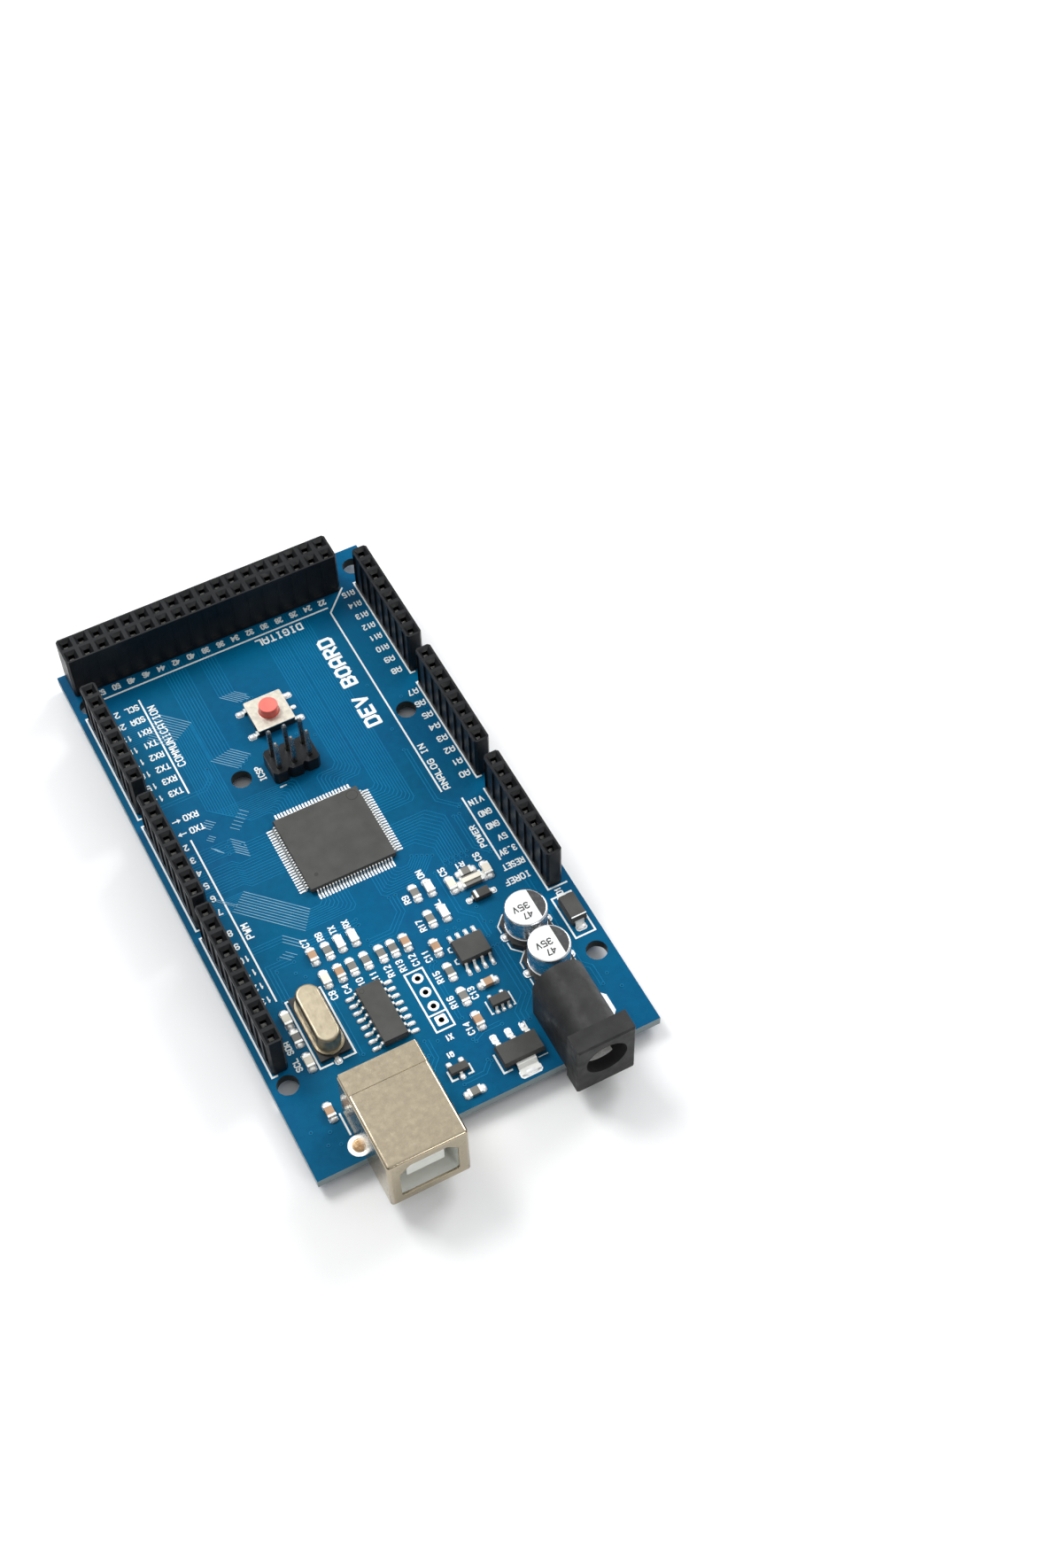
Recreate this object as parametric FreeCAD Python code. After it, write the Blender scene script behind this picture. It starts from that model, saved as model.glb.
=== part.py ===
import FreeCAD, Part
import math
import os

# Microcontroller development board with stacking headers, in millimetres.
#
# Layout grid used while modelling: u runs across the board from the digital
# edge, v runs along it from the edge with the USB port, and z is up from the
# board's top face. save() moves every shape into the part's own frame: origin
# under the middle of the whole assembly, on the plane the solder tails rest on,
# +X towards the power and analog edge, +Y away from the USB port, +Z up.

# ---- driving dimensions -------------------------------------------------
PITCH = 2.54
BOARD_WIDTH = 53.34
BOARD_LENGTH = 100.33
BOARD_SHORT_SIDE = 97.79
BOARD_STEP_U = 12.7
BOARD_THICKNESS = 1.6
TAIL_BELOW_BOARD = 1.3
MOUNT_HOLE_R = 1.6
MOUNT_HOLES = [(2.54, 15.24), (2.54, 90.17), (50.8, 13.97), (50.8, 96.52), (17.78, 66.04), (45.72, 66.04)]
PIN_HOLE_R = 0.5

# stacking headers: first pin and pin count, running along v
DIGITAL_ROW_U = 2.54
ANALOG_ROW_U = 50.8
DIGITAL_HEADERS = [(18.796, 10), (45.72, 8)]
COMMUNICATION_HEADER = (68.58, 8)
POWER_HEADER = (27.94, 8)
ANALOG_NEAR_HEADER = (50.8, 8)
ANALOG_FAR_HEADER = (73.66, 8)
DOUBLE_ROWS_V = [93.98, 96.52]
DOUBLE_FIRST_U = 2.54
DOUBLE_COUNT = 18
HEADER_WIDTH = 2.5
HEADER_HEIGHT = 8.5
SOCKET_MOUTH = 1.9
SOCKET_THROAT = 0.95
FUNNEL_DEPTH = 0.6
CAVITY_WIDTH = 1.0
CAVITY_LENGTH = 1.9
CAVITY_FLOOR = 1.0
TAIL_WIDTH = 0.6
TAIL_THICKNESS = 0.3

# in-circuit programming header
ICSP_FIRST = (23.3, 63.68)
ICSP_COLUMNS = 3
ICSP_ROWS = 2
ICSP_BASE_HEIGHT = 2.54
ICSP_PIN_TOP = 8.5
PIN_SQUARE = 0.64

# unpopulated four-pin header
SPARE_HEADER = (25.95, 14.34, 4)

# USB type B receptacle
USB_CENTRE_U = 13.4
USB_WIDTH = 12.0
USB_FRONT_V = -7.9
USB_LENGTH = 15.8
USB_HEIGHT = 10.9
USB_SHEET = 0.35
USB_MOUTH_WIDTH = 8.6
USB_MOUTH_HEIGHT = 7.8
USB_MOUTH_FLOOR = 1.5
USB_MOUTH_CHAMFER = 1.6
USB_TAB_V = 2.2
USB_TAB_WIDTH = 1.8
USB_TAB_HOLE_R = 1.15
USB_TONGUE_WIDTH = 5.6
USB_TONGUE_HEIGHT = 3.2
USB_TONGUE_RECESS = 1.4
USB_CAVITY_DEPTH = 9.5
USB_PIN_ROWS_V = [4.91, 6.91]
USB_PIN_SPREAD = 1.25

# barrel power jack
JACK_CENTRE_U = 41.9
JACK_FRONT_V = -4.9
JACK_LENGTH = 14.2
JACK_FLANGE_WIDTH = 9.0
JACK_FLANGE_HEIGHT = 11.0
JACK_FLANGE_DEPTH = 3.2
JACK_BODY_WIDTH = 8.0
JACK_AXIS_Z = 6.3
JACK_BORE_R = 3.15
JACK_BORE_DEPTH = 10.0
JACK_PIN_R = 1.05
JACK_PIN_RECESS = 3.0
JACK_LEAF_RECESS = 1.9
JACK_REAR_TAIL_V = 8.7
JACK_SLEEVE_TAIL_V = 2.8
JACK_SIDE_TAIL = (46.75, 5.5)
JACK_BLADE = 2.4
JACK_BLADE_THICKNESS = 0.5

# electrolytic capacitors
CAPACITORS = [(43.7, 15.2), (43.6, 22.05)]
CAN_R = 3.15
CAN_TOP = 5.8
CAN_BASE_SIDE = 6.6
CAN_BASE_HEIGHT = 1.0
CAN_LEAD_REACH = 3.7

# crystal
CRYSTAL_CENTRE = (10.35, 21.6)
CRYSTAL_CAN = (3.7, 10.2)
CRYSTAL_FLANGE = (4.4, 10.9)
CRYSTAL_TOP = 4.1

# reset switch
RESET_CENTRE = (26.5, 74.9)
RESET_SIDE = 6.0
RESET_COVER_SIDE = 6.2
RESET_COVER_TOP = 1.6
RESET_SHEET = 0.22
RESET_PLUNGER_R = 1.5
RESET_PLUNGER_TOP = 3.1
RESET_TRAVEL = 0.25
RESET_RECESS_R = 2.45
RESET_RECESS_FLOOR = 0.45
RESET_LEAD_PITCH = 4.9
RESET_LEAD_REACH = 4.2

# packages: body across the leads, body along the leads, height over the board
MCU_CENTRE = (25.5, 49.1)
MCU_SIDE = 14.0
MCU_PER_SIDE = 25
MCU_PITCH = 0.5
USB_CHIP_CENTRE = (18.9, 18.95)
COMPARATOR_CENTRE = (34.85, 22.45)
REGULATOR_CENTRE = (33.35, 4.6)
SMALL_REGULATOR_CENTRE = (34.55, 13.05)
TRANSISTOR_CENTRE = (24.55, 6.1)
POWER_DIODE_CENTRE = (50.7, 21.2)
SIGNAL_DIODE_CENTRE = (40.4, 30.1)
SMALL_OUTLINE_PITCH = 1.27

# two-terminal chips: centre u, centre v, and whether the length runs along u
CHIP_LENGTH = 2.0
CHIP_WIDTH = 1.25
CHIP_TERMINAL = 0.4
RESONATOR = (40.3, 33.0)
RESONATOR_SIZE = (3.4, 1.8)
RESISTORS = [(6.65, 21.3, False), (16.5, 32.2, False), (18.5, 28.1, False), (20.7, 28.1, False),
             (23.1, 28.1, False), (25.0, 28.1, False), (31.95, 35.0, False), (31.95, 30.0, False),
             (30.5, 20.7, False), (30.4, 16.2, False), (40.2, 34.85, True), (25.0, 2.0, True)]
CERAMICS = [(6.6, 24.6, False), (6.6, 17.0, False), (14.2, 32.3, False), (14.25, 28.0, False),
            (16.5, 28.0, False), (27.0, 28.1, False), (37.3, 33.7, False), (43.1, 33.7, False),
            (30.5, 25.2, False), (30.45, 11.7, False), (34.5, 16.5, True), (5.9, 8.6, False)]
LEDS = [(18.6, 32.5, False), (20.75, 32.5, False), (34.2, 34.9, False), (34.2, 30.0, False)]

# ---- worked out from the driving dimensions ------------------------------
BOARD_BOTTOM = -BOARD_THICKNESS
LOWEST = BOARD_BOTTOM - TAIL_BELOW_BOARD
ORIGIN_U = BOARD_WIDTH / 2
ORIGIN_V = (USB_FRONT_V + BOARD_LENGTH) / 2
USB_LEFT = USB_CENTRE_U - USB_WIDTH / 2
USB_RIGHT = USB_CENTRE_U + USB_WIDTH / 2
USB_REAR_V = USB_FRONT_V + USB_LENGTH
JACK_REAR_V = JACK_FRONT_V + JACK_LENGTH


# ---- shape helpers ---------------------------------------------------------
def box(u0, u1, v0, v1, z0, z1):
    return Part.makeBox(u1 - u0, v1 - v0, z1 - z0, FreeCAD.Vector(u0, v0, z0))


def centred_box(u, v, width, length, z0, z1):
    return box(u - width / 2, u + width / 2, v - length / 2, v + length / 2, z0, z1)


def post(u, v, radius, z0, z1):
    return Part.makeCylinder(radius, z1 - z0, FreeCAD.Vector(u, v, z0))


def rod_along_v(u, z, radius, v0, v1):
    return Part.makeCylinder(radius, v1 - v0, FreeCAD.Vector(u, v0, z), FreeCAD.Vector(0, 1, 0))


def prism(points, direction):
    """Extrude a closed outline, given as 3-D points, along a vector."""
    outline = Part.makePolygon([FreeCAD.Vector(*point) for point in points + points[:1]])
    return Part.Face(outline).extrude(FreeCAD.Vector(*direction))


def frustum(u, v, lower_side, upper_side, z0, z1):
    """Square funnel between two heights."""
    rings = []
    for side, z in ((lower_side, z0), (upper_side, z1)):
        h = side / 2
        corners = [(u - h, v - h, z), (u + h, v - h, z), (u + h, v + h, z), (u - h, v + h, z)]
        rings.append(Part.makePolygon([FreeCAD.Vector(*corner) for corner in corners + corners[:1]]))
    return Part.makeLoft(rings, True, True)


def obround(u, v, width, length, z0, z1):
    """Upright solid with a stadium outline, long along v."""
    r = width / 2
    straight = length / 2 - r
    middle = centred_box(u, v, width, 2 * straight, z0, z1)
    ends = [post(u, v - straight, r, z0, z1), post(u, v + straight, r, z0, z1)]
    return middle.fuse(ends).removeSplitter()


def quarter_turned(shape, u, v, turns):
    copy = shape.copy()
    copy.rotate(FreeCAD.Vector(u, v, 0), FreeCAD.Vector(0, 0, 1), 90 * turns)
    return copy


def moved(shape, du, dv):
    copy = shape.copy()
    copy.translate(FreeCAD.Vector(du, dv, 0))
    return copy


def vertical_edges(shape, keep=lambda edge: True):
    """Straight upright edges of a shape that pass a test."""
    found = []
    for edge in shape.Edges:
        ends = [vertex.Point for vertex in edge.Vertexes]
        if len(ends) < 2:
            continue
        upright = abs(ends[0].x - ends[1].x) < 1e-6 and abs(ends[0].y - ends[1].y) < 1e-6
        if upright and keep(edge):
            found.append(edge)
    return found


def save(name, solids):
    """Write one node: every piece moved from the layout grid to the part's frame."""
    group = Part.makeCompound(solids)
    group.translate(FreeCAD.Vector(-ORIGIN_U, -ORIGIN_V, -LOWEST))
    group.exportStep("parts/" + name + ".step")


# ---- where the through-hole pins stand -------------------------------------
def row_along_v(u, first_v, count):
    return [(u, first_v + PITCH * i) for i in range(count)]


DIGITAL_PINS = [pin for first, count in DIGITAL_HEADERS for pin in row_along_v(DIGITAL_ROW_U, first, count)]
COMMUNICATION_PINS = row_along_v(DIGITAL_ROW_U, *COMMUNICATION_HEADER)
POWER_PINS = row_along_v(ANALOG_ROW_U, *POWER_HEADER)
ANALOG_NEAR_PINS = row_along_v(ANALOG_ROW_U, *ANALOG_NEAR_HEADER)
ANALOG_FAR_PINS = row_along_v(ANALOG_ROW_U, *ANALOG_FAR_HEADER)
DOUBLE_PINS = [(DOUBLE_FIRST_U + PITCH * i, v) for v in DOUBLE_ROWS_V for i in range(DOUBLE_COUNT)]
ICSP_PINS = [(ICSP_FIRST[0] + PITCH * i, ICSP_FIRST[1] + PITCH * j)
             for i in range(ICSP_COLUMNS) for j in range(ICSP_ROWS)]
HEADER_PINS = (DIGITAL_PINS + COMMUNICATION_PINS + POWER_PINS + ANALOG_NEAR_PINS
               + ANALOG_FAR_PINS + DOUBLE_PINS)
USB_PINS = [(USB_CENTRE_U + side * USB_PIN_SPREAD, v) for v in USB_PIN_ROWS_V for side in (-1, 1)]
USB_TABS = [(USB_LEFT, USB_TAB_V), (USB_RIGHT, USB_TAB_V)]
JACK_CROSS_TAILS = [(JACK_CENTRE_U, JACK_SLEEVE_TAIL_V), (JACK_CENTRE_U, JACK_REAR_TAIL_V)]


# ---- the bare board ----------------------------------------------------------
def blade_slot(u, v, across, z0, z1):
    """Plated slot for a jack blade; across says that the blade is wide along u."""
    width = JACK_BLADE_THICKNESS + 0.5
    length = JACK_BLADE + 0.6
    slot = obround(u, v, width, length, z0, z1)
    return quarter_turned(slot, u, v, 1) if across else slot


def bare_board():
    top = 0.0
    step = BOARD_LENGTH - BOARD_SHORT_SIDE
    outline = [(0, 0, top), (BOARD_WIDTH, 0, top), (BOARD_WIDTH, BOARD_LENGTH, top),
               (BOARD_STEP_U + step, BOARD_LENGTH, top), (BOARD_STEP_U, BOARD_SHORT_SIDE, top),
               (0, BOARD_SHORT_SIDE, top)]
    board = prism(outline, (0, 0, BOARD_BOTTOM))
    lower, upper = BOARD_BOTTOM - 1, 1
    spare_u, spare_v, spare_count = SPARE_HEADER
    holes = [post(u, v, MOUNT_HOLE_R, lower, upper) for u, v in MOUNT_HOLES]
    small = HEADER_PINS + ICSP_PINS + USB_PINS + row_along_v(spare_u, spare_v, spare_count)
    holes += [post(u, v, PIN_HOLE_R, lower, upper) for u, v in small]
    holes += [post(u, v, USB_TAB_HOLE_R, lower, upper) for u, v in USB_TABS]
    holes += [blade_slot(u, v, True, lower, upper) for u, v in JACK_CROSS_TAILS]
    holes.append(blade_slot(*JACK_SIDE_TAIL, False, lower, upper))
    return board.cut(Part.makeCompound(holes))


# ---- stacking headers -----------------------------------------------------------
def socket_cutter(u, v):
    """Everything removed for one contact: mouth, cavity and tail slot."""
    mouth = frustum(u, v, SOCKET_THROAT, SOCKET_MOUTH, HEADER_HEIGHT - FUNNEL_DEPTH, HEADER_HEIGHT)
    cavity = centred_box(u, v, CAVITY_WIDTH, CAVITY_LENGTH, CAVITY_FLOOR, HEADER_HEIGHT - FUNNEL_DEPTH)
    slot = centred_box(u, v, TAIL_WIDTH + 0.1, TAIL_THICKNESS + 0.1, 0, CAVITY_FLOOR)
    return mouth.fuse([cavity, slot])


def side_recess(u, v, outward, along_u, depth=0.25):
    """Shallow moulded panel beside one contact; outward is +1 or -1."""
    width, low, high = 1.8, 1.0, 7.9
    face = HEADER_WIDTH / 2
    near, far = sorted((outward * (face - depth), outward * (face + 1)))
    if along_u:
        return box(u - width / 2, u + width / 2, v + near, v + far, low, high)
    return box(u + near, u + far, v - width / 2, v + width / 2, low, high)


def single_row_housing(pins):
    u = pins[0][0]
    first, last = pins[0][1], pins[-1][1]
    body = box(u - HEADER_WIDTH / 2, u + HEADER_WIDTH / 2, first - PITCH / 2, last + PITCH / 2, 0, HEADER_HEIGHT)
    body = body.makeChamfer(0.35, vertical_edges(body))
    cutters = [socket_cutter(*pin) for pin in pins]
    cutters += [side_recess(*pin, outward, False) for pin in pins for outward in (-1, 1)]
    return body.cut(Part.makeCompound(cutters))


def double_row_housing():
    first_u, last_u = DOUBLE_PINS[0][0], DOUBLE_PINS[-1][0]
    near = DOUBLE_ROWS_V[0] - HEADER_WIDTH / 2
    far = DOUBLE_ROWS_V[-1] + HEADER_WIDTH / 2
    body = box(first_u - PITCH / 2, last_u + PITCH / 2, near, far, 0, HEADER_HEIGHT)
    body = body.makeChamfer(0.35, vertical_edges(body))
    cutters = [socket_cutter(*pin) for pin in DOUBLE_PINS]
    for u, v in DOUBLE_PINS:
        outward = -1 if v == DOUBLE_ROWS_V[0] else 1
        cutters.append(side_recess(u, v, outward, True, 0.08))
    return body.cut(Part.makeCompound(cutters))


def contact_leaf(u, v, outward):
    """One spring leaf of a contact, leaning in towards the pin and flaring at its tip."""
    root, waist, tip = 0.78, 0.32, 0.5
    sheet = 0.18
    low, pinch, high = CAVITY_FLOOR, 6.4, 7.1
    profile = [(root, low), (root, low + 0.6), (waist, pinch), (tip, high),
               (tip - sheet, high), (waist - sheet, pinch), (root - sheet, low + 0.6), (root - sheet, low)]
    points = [(u - 0.4, v + outward * across, z) for across, z in profile]
    return prism(points, (0.8, 0, 0))


def header_contact(u, v):
    """Forked contact with a flat tail that passes through the board."""
    tail = centred_box(u, v, TAIL_WIDTH, TAIL_THICKNESS, LOWEST, CAVITY_FLOOR)
    bridge = centred_box(u, v, 0.8, 1.56, CAVITY_FLOOR, CAVITY_FLOOR + 0.25)
    leaves = [contact_leaf(u, v, 1), contact_leaf(u, v, -1)]
    return tail.fuse([bridge] + leaves).removeSplitter()


def solder_joint(u, v, hole_r, blade_u, blade_v, cone_r):
    """Filled hole and cone of solder under the board, around one tail."""
    barrel = post(u, v, hole_r, BOARD_BOTTOM, 0)
    neck_r = max(blade_u, blade_v) / 2 + 0.08
    cone_depth = 0.85
    cone = Part.makeCone(neck_r, cone_r, cone_depth, FreeCAD.Vector(u, v, BOARD_BOTTOM - cone_depth))
    tail = centred_box(u, v, blade_u, blade_v, LOWEST - 1, 1)
    return barrel.fuse(cone).cut(tail)


def blade_joint(u, v, across):
    """Solder around a jack blade: filled slot and a low mound underneath."""
    barrel = blade_slot(u, v, across, BOARD_BOTTOM, 0)
    mound = obround(u, v, JACK_BLADE_THICKNESS + 1.4, JACK_BLADE + 1.4, BOARD_BOTTOM - 0.6, BOARD_BOTTOM)
    if across:
        mound = quarter_turned(mound, u, v, 1)
    wide, thick = JACK_BLADE, JACK_BLADE_THICKNESS
    size = (wide, thick) if across else (thick, wide)
    return barrel.fuse(mound).cut(centred_box(u, v, *size, LOWEST - 1, 1))


# ---- programming header ------------------------------------------------------------
def icsp_base():
    """Block of eight-sided cells, one per pin."""
    half = PITCH / 2
    corner = 0.5
    cells = []
    for u, v in ICSP_PINS:
        cell = centred_box(u, v, PITCH, PITCH, 0, ICSP_BASE_HEIGHT)
        outer_v = v + (half if v > ICSP_FIRST[1] else -half)
        outer = vertical_edges(cell, lambda edge: abs(edge.Vertexes[0].Point.y - outer_v) < 1e-6)
        cells.append(cell.makeChamfer(corner, outer))
    block = cells[0].fuse(cells[1:]).removeSplitter()
    holes = [centred_box(u, v, PIN_SQUARE, PIN_SQUARE, -1, ICSP_BASE_HEIGHT + 1) for u, v in ICSP_PINS]
    return block.cut(Part.makeCompound(holes))


def square_pin(u, v):
    taper = 0.35
    shaft = centred_box(u, v, PIN_SQUARE, PIN_SQUARE, LOWEST + taper, ICSP_PIN_TOP - taper)
    tip = frustum(u, v, PIN_SQUARE, PIN_SQUARE * 0.5, ICSP_PIN_TOP - taper, ICSP_PIN_TOP)
    foot = frustum(u, v, PIN_SQUARE * 0.5, PIN_SQUARE, LOWEST, LOWEST + taper)
    return shaft.fuse([tip, foot]).removeSplitter()


# ---- USB receptacle -------------------------------------------------------------------
def usb_mouth_points(v, inset):
    """Outline of the plug opening, two upper corners cut, seen at depth v."""
    half = USB_MOUTH_WIDTH / 2 - inset
    low = USB_MOUTH_FLOOR + inset
    high = USB_MOUTH_FLOOR + USB_MOUTH_HEIGHT - inset
    cut = USB_MOUTH_CHAMFER
    offsets = [(-half, low), (half, low), (half, high - cut), (half - cut, high), (cut - half, high), (-half, high - cut)]
    return [(USB_CENTRE_U + across, v, z) for across, z in offsets]


def usb_mouth(v, depth):
    """Solid that cuts the plug opening, its corners rounded."""
    cutter = prism(usb_mouth_points(v, 0), (0, depth, 0))
    corners = [edge for edge in cutter.Edges if abs(edge.Length - depth) < 1e-6]
    return cutter.makeFillet(0.6, corners)


def usb_shell():
    """Folded steel can: closed front frame, top, sides and rear, open underneath."""
    outer = box(USB_LEFT, USB_RIGHT, USB_FRONT_V, USB_REAR_V, 0, USB_HEIGHT)
    rounded = [edge for edge in outer.Edges if abs(edge.CenterOfMass.z - USB_HEIGHT) < 1e-6]
    rounded += vertical_edges(outer)
    outer = outer.makeFillet(0.5, rounded)
    s = USB_SHEET
    inner = box(USB_LEFT + s, USB_RIGHT - s, USB_FRONT_V + s, USB_REAR_V - s, -1, USB_HEIGHT - s)
    mouth = usb_mouth(USB_FRONT_V - 1, 2)
    shell = outer.cut([inner, mouth])
    half = USB_TAB_WIDTH / 2
    tabs = [box(USB_LEFT, USB_LEFT + s, USB_TAB_V - half, USB_TAB_V + half, LOWEST, 1),
            box(USB_RIGHT - s, USB_RIGHT, USB_TAB_V - half, USB_TAB_V + half, LOWEST, 1)]
    return shell.fuse(tabs).removeSplitter()


def usb_contacts():
    """Four strips, two over and two under the tongue, each with a tail through the board."""
    strip = 0.25
    width = 1.0
    tail = 0.5
    middle = USB_MOUTH_FLOOR + USB_MOUTH_HEIGHT / 2
    tip = USB_FRONT_V + USB_TONGUE_RECESS + 0.8
    contacts = []
    for row, v in enumerate(USB_PIN_ROWS_V):
        upper = row == 1
        z0 = middle + USB_TONGUE_HEIGHT / 2 - strip if upper else middle - USB_TONGUE_HEIGHT / 2
        for side in (-1, 1):
            u = USB_CENTRE_U + side * USB_PIN_SPREAD
            run = box(u - width / 2, u + width / 2, tip, v + tail / 2, z0, z0 + strip)
            drop = centred_box(u, v, tail, tail, LOWEST, z0 + strip)
            contacts.append(run.fuse(drop).removeSplitter())
    return contacts


def usb_insulator(contacts):
    """Moulding that fills the can and carries the tongue."""
    s = USB_SHEET
    front = USB_FRONT_V + s
    block = box(USB_LEFT + s, USB_RIGHT - s, front, USB_REAR_V - s, 0, USB_HEIGHT - s)
    cavity = usb_mouth(front - 1, USB_CAVITY_DEPTH + 1)
    middle = USB_MOUTH_FLOOR + USB_MOUTH_HEIGHT / 2
    half_w, half_h = USB_TONGUE_WIDTH / 2, USB_TONGUE_HEIGHT / 2
    tongue = box(USB_CENTRE_U - half_w, USB_CENTRE_U + half_w, USB_FRONT_V + USB_TONGUE_RECESS,
                 front + USB_CAVITY_DEPTH, middle - half_h, middle + half_h)
    moulding = block.cut(cavity).fuse(tongue).removeSplitter()
    return moulding.cut(Part.makeCompound(contacts))


# ---- power jack ------------------------------------------------------------------------
def jack_center_pin():
    """Turned pin, riveted to a rear plate whose tail goes through the board."""
    tip_v = JACK_FRONT_V + JACK_PIN_RECESS
    plate_v = JACK_REAR_TAIL_V - JACK_BLADE_THICKNESS / 2
    pin = rod_along_v(JACK_CENTRE_U, JACK_AXIS_Z, JACK_PIN_R, tip_v, plate_v)
    tip_edges = [edge for edge in pin.Edges if abs(edge.CenterOfMass.y - tip_v) < 1e-6]
    pin = pin.makeFillet(0.6, tip_edges)
    half = JACK_BLADE / 2
    plate = box(JACK_CENTRE_U - half, JACK_CENTRE_U + half, plate_v, plate_v + JACK_BLADE_THICKNESS,
                LOWEST, JACK_AXIS_Z + half)
    return pin.fuse(plate).removeSplitter()


def jack_spring_contact():
    """Curved leaf along the underside of the bore, where the plug's sleeve rests, with its tail."""
    u, z = JACK_CENTRE_U, JACK_AXIS_Z
    outer, sheet = JACK_BORE_R - 0.07, 0.2
    tail_v = JACK_SLEEVE_TAIL_V
    t = JACK_BLADE_THICKNESS / 2
    half = JACK_BLADE / 2
    front_v = JACK_FRONT_V + JACK_LEAF_RECESS
    sleeve = rod_along_v(u, z, outer, front_v, tail_v + t)
    sleeve = sleeve.cut(rod_along_v(u, z, outer - sheet, front_v - 1, tail_v + 1))
    leaf = sleeve.common(box(u - 2.3, u + 1.9, front_v - 1, tail_v + 1, z - 4, z - 2.0))
    tail = box(u - half, u + half, tail_v - t, tail_v + t, LOWEST, z - outer + 0.12)
    return leaf.fuse(tail).removeSplitter()


def jack_switch_contact():
    """Side blade that the leaf rests on until a plug is pushed in."""
    u, v = JACK_SIDE_TAIL
    t = JACK_BLADE_THICKNESS / 2
    half = JACK_BLADE / 2
    body_side = JACK_CENTRE_U + JACK_BODY_WIDTH / 2
    blade = box(u - t, u + t, v - half, v + half, LOWEST, 2.6)
    arm = box(body_side - 0.8, u + t, v - half, v + half, 2.6 - JACK_BLADE_THICKNESS, 2.6)
    return blade.fuse(arm).removeSplitter()


def jack_housing(metal):
    """Square front flange with a half-round barrel behind, bored for the plug."""
    flange = centred_box(JACK_CENTRE_U, JACK_FRONT_V + JACK_FLANGE_DEPTH / 2, JACK_FLANGE_WIDTH,
                         JACK_FLANGE_DEPTH, 0, JACK_FLANGE_HEIGHT)
    front = [edge for edge in flange.Edges if abs(edge.CenterOfMass.y - JACK_FRONT_V) < 1e-6]
    flange = flange.makeChamfer(0.25, front)
    back = JACK_FRONT_V + JACK_FLANGE_DEPTH
    half = JACK_BODY_WIDTH / 2
    body = box(JACK_CENTRE_U - half, JACK_CENTRE_U + half, back, JACK_REAR_V, 0, JACK_AXIS_Z)
    barrel = rod_along_v(JACK_CENTRE_U, JACK_AXIS_Z, half, back, JACK_REAR_V)
    bore = rod_along_v(JACK_CENTRE_U, JACK_AXIS_Z, JACK_BORE_R, JACK_FRONT_V, JACK_FRONT_V + JACK_BORE_DEPTH)
    spring_well = box(JACK_CENTRE_U - JACK_BLADE / 2 - 0.2, JACK_CENTRE_U + JACK_BLADE / 2 + 0.2,
                      JACK_FRONT_V + JACK_FLANGE_DEPTH - 0.9, JACK_SLEEVE_TAIL_V + 0.5, 0, JACK_AXIS_Z - 1.5)
    solid = flange.fuse([body, barrel]).removeSplitter().cut([bore, spring_well])
    return solid.cut(metal)


# ---- electrolytic capacitors ---------------------------------------------------------------
def capacitor_base(u, v):
    bottom = 0.15
    base = centred_box(u, v, CAN_BASE_SIDE, CAN_BASE_SIDE, bottom, bottom + CAN_BASE_HEIGHT)
    cut_corners = vertical_edges(base, lambda edge: edge.Vertexes[0].Point.x < u)
    return base.makeChamfer(1.3, cut_corners)


def capacitor_can(u, v):
    """Drawn can with a crimp groove low on its wall."""
    bottom = 0.15 + CAN_BASE_HEIGHT
    can = post(u, v, CAN_R, bottom, CAN_TOP)
    top = [edge for edge in can.Edges if abs(edge.CenterOfMass.z - CAN_TOP) < 1e-6]
    can = can.makeFillet(0.3, top)
    groove = Part.makeTorus(CAN_R + 0.12, 0.35, FreeCAD.Vector(u, v, bottom + 0.75))
    return can.cut(groove)


def capacitor_leads(u, v):
    inner, width, sheet = 0.8, 0.75, 0.15
    leads = []
    for side in (-1, 1):
        ends = sorted((u + side * inner, u + side * CAN_LEAD_REACH))
        leads.append(box(ends[0], ends[1], v - width / 2, v + width / 2, 0, sheet))
    return leads


# ---- moulded packages ------------------------------------------------------------------------
def moulded_body(u, v, width, length, z0, z1, draft=0.12):
    """Plastic body, widest at its parting line and slightly drafted above and below."""
    middle = (z0 + z1) / 2
    outline = [(z0, draft), (middle, 0.0), (z1, draft)]
    rings = []
    for z, inset in outline:
        w, n = width / 2 - inset, length / 2 - inset
        corners = [(u - w, v - n, z), (u + w, v - n, z), (u + w, v + n, z), (u - w, v + n, z)]
        rings.append(Part.makePolygon([FreeCAD.Vector(*corner) for corner in corners + corners[:1]]))
    return Part.makeLoft(rings, True, True)


def gull_lead(u, v, along, start, reach, height, width, sheet, foot):
    """Formed lead that leaves a body side at start, drops and ends in a foot.

    along is the outward direction as (1, 0), (-1, 0), (0, 1) or (0, -1).
    """
    knee = start + 0.25 * (reach - start)
    heel = reach - foot
    profile = [(start, height), (knee, height), (heel, sheet), (reach, sheet), (reach, 0),
               (heel - sheet * 0.6, 0), (knee - sheet * 0.6, height - sheet), (start, height - sheet)]
    side = (-along[1], along[0])
    base_u = u - side[0] * width / 2
    base_v = v - side[1] * width / 2
    points = [(base_u + along[0] * out, base_v + along[1] * out, z) for out, z in profile]
    return prism(points, (side[0] * width, side[1] * width, 0))


def row_offsets(count, pitch):
    return [(i - (count - 1) / 2) * pitch for i in range(count)]


def quad_leads():
    u, v = MCU_CENTRE
    leads = []
    for offset in row_offsets(MCU_PER_SIDE, MCU_PITCH):
        for along in ((1, 0), (-1, 0), (0, 1), (0, -1)):
            shift = (along[1] * offset, along[0] * offset)
            leads.append(gull_lead(u + shift[0], v + shift[1], along, MCU_SIDE / 2, 8.0, 0.68, 0.22, 0.15, 0.5))
    return leads


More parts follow.
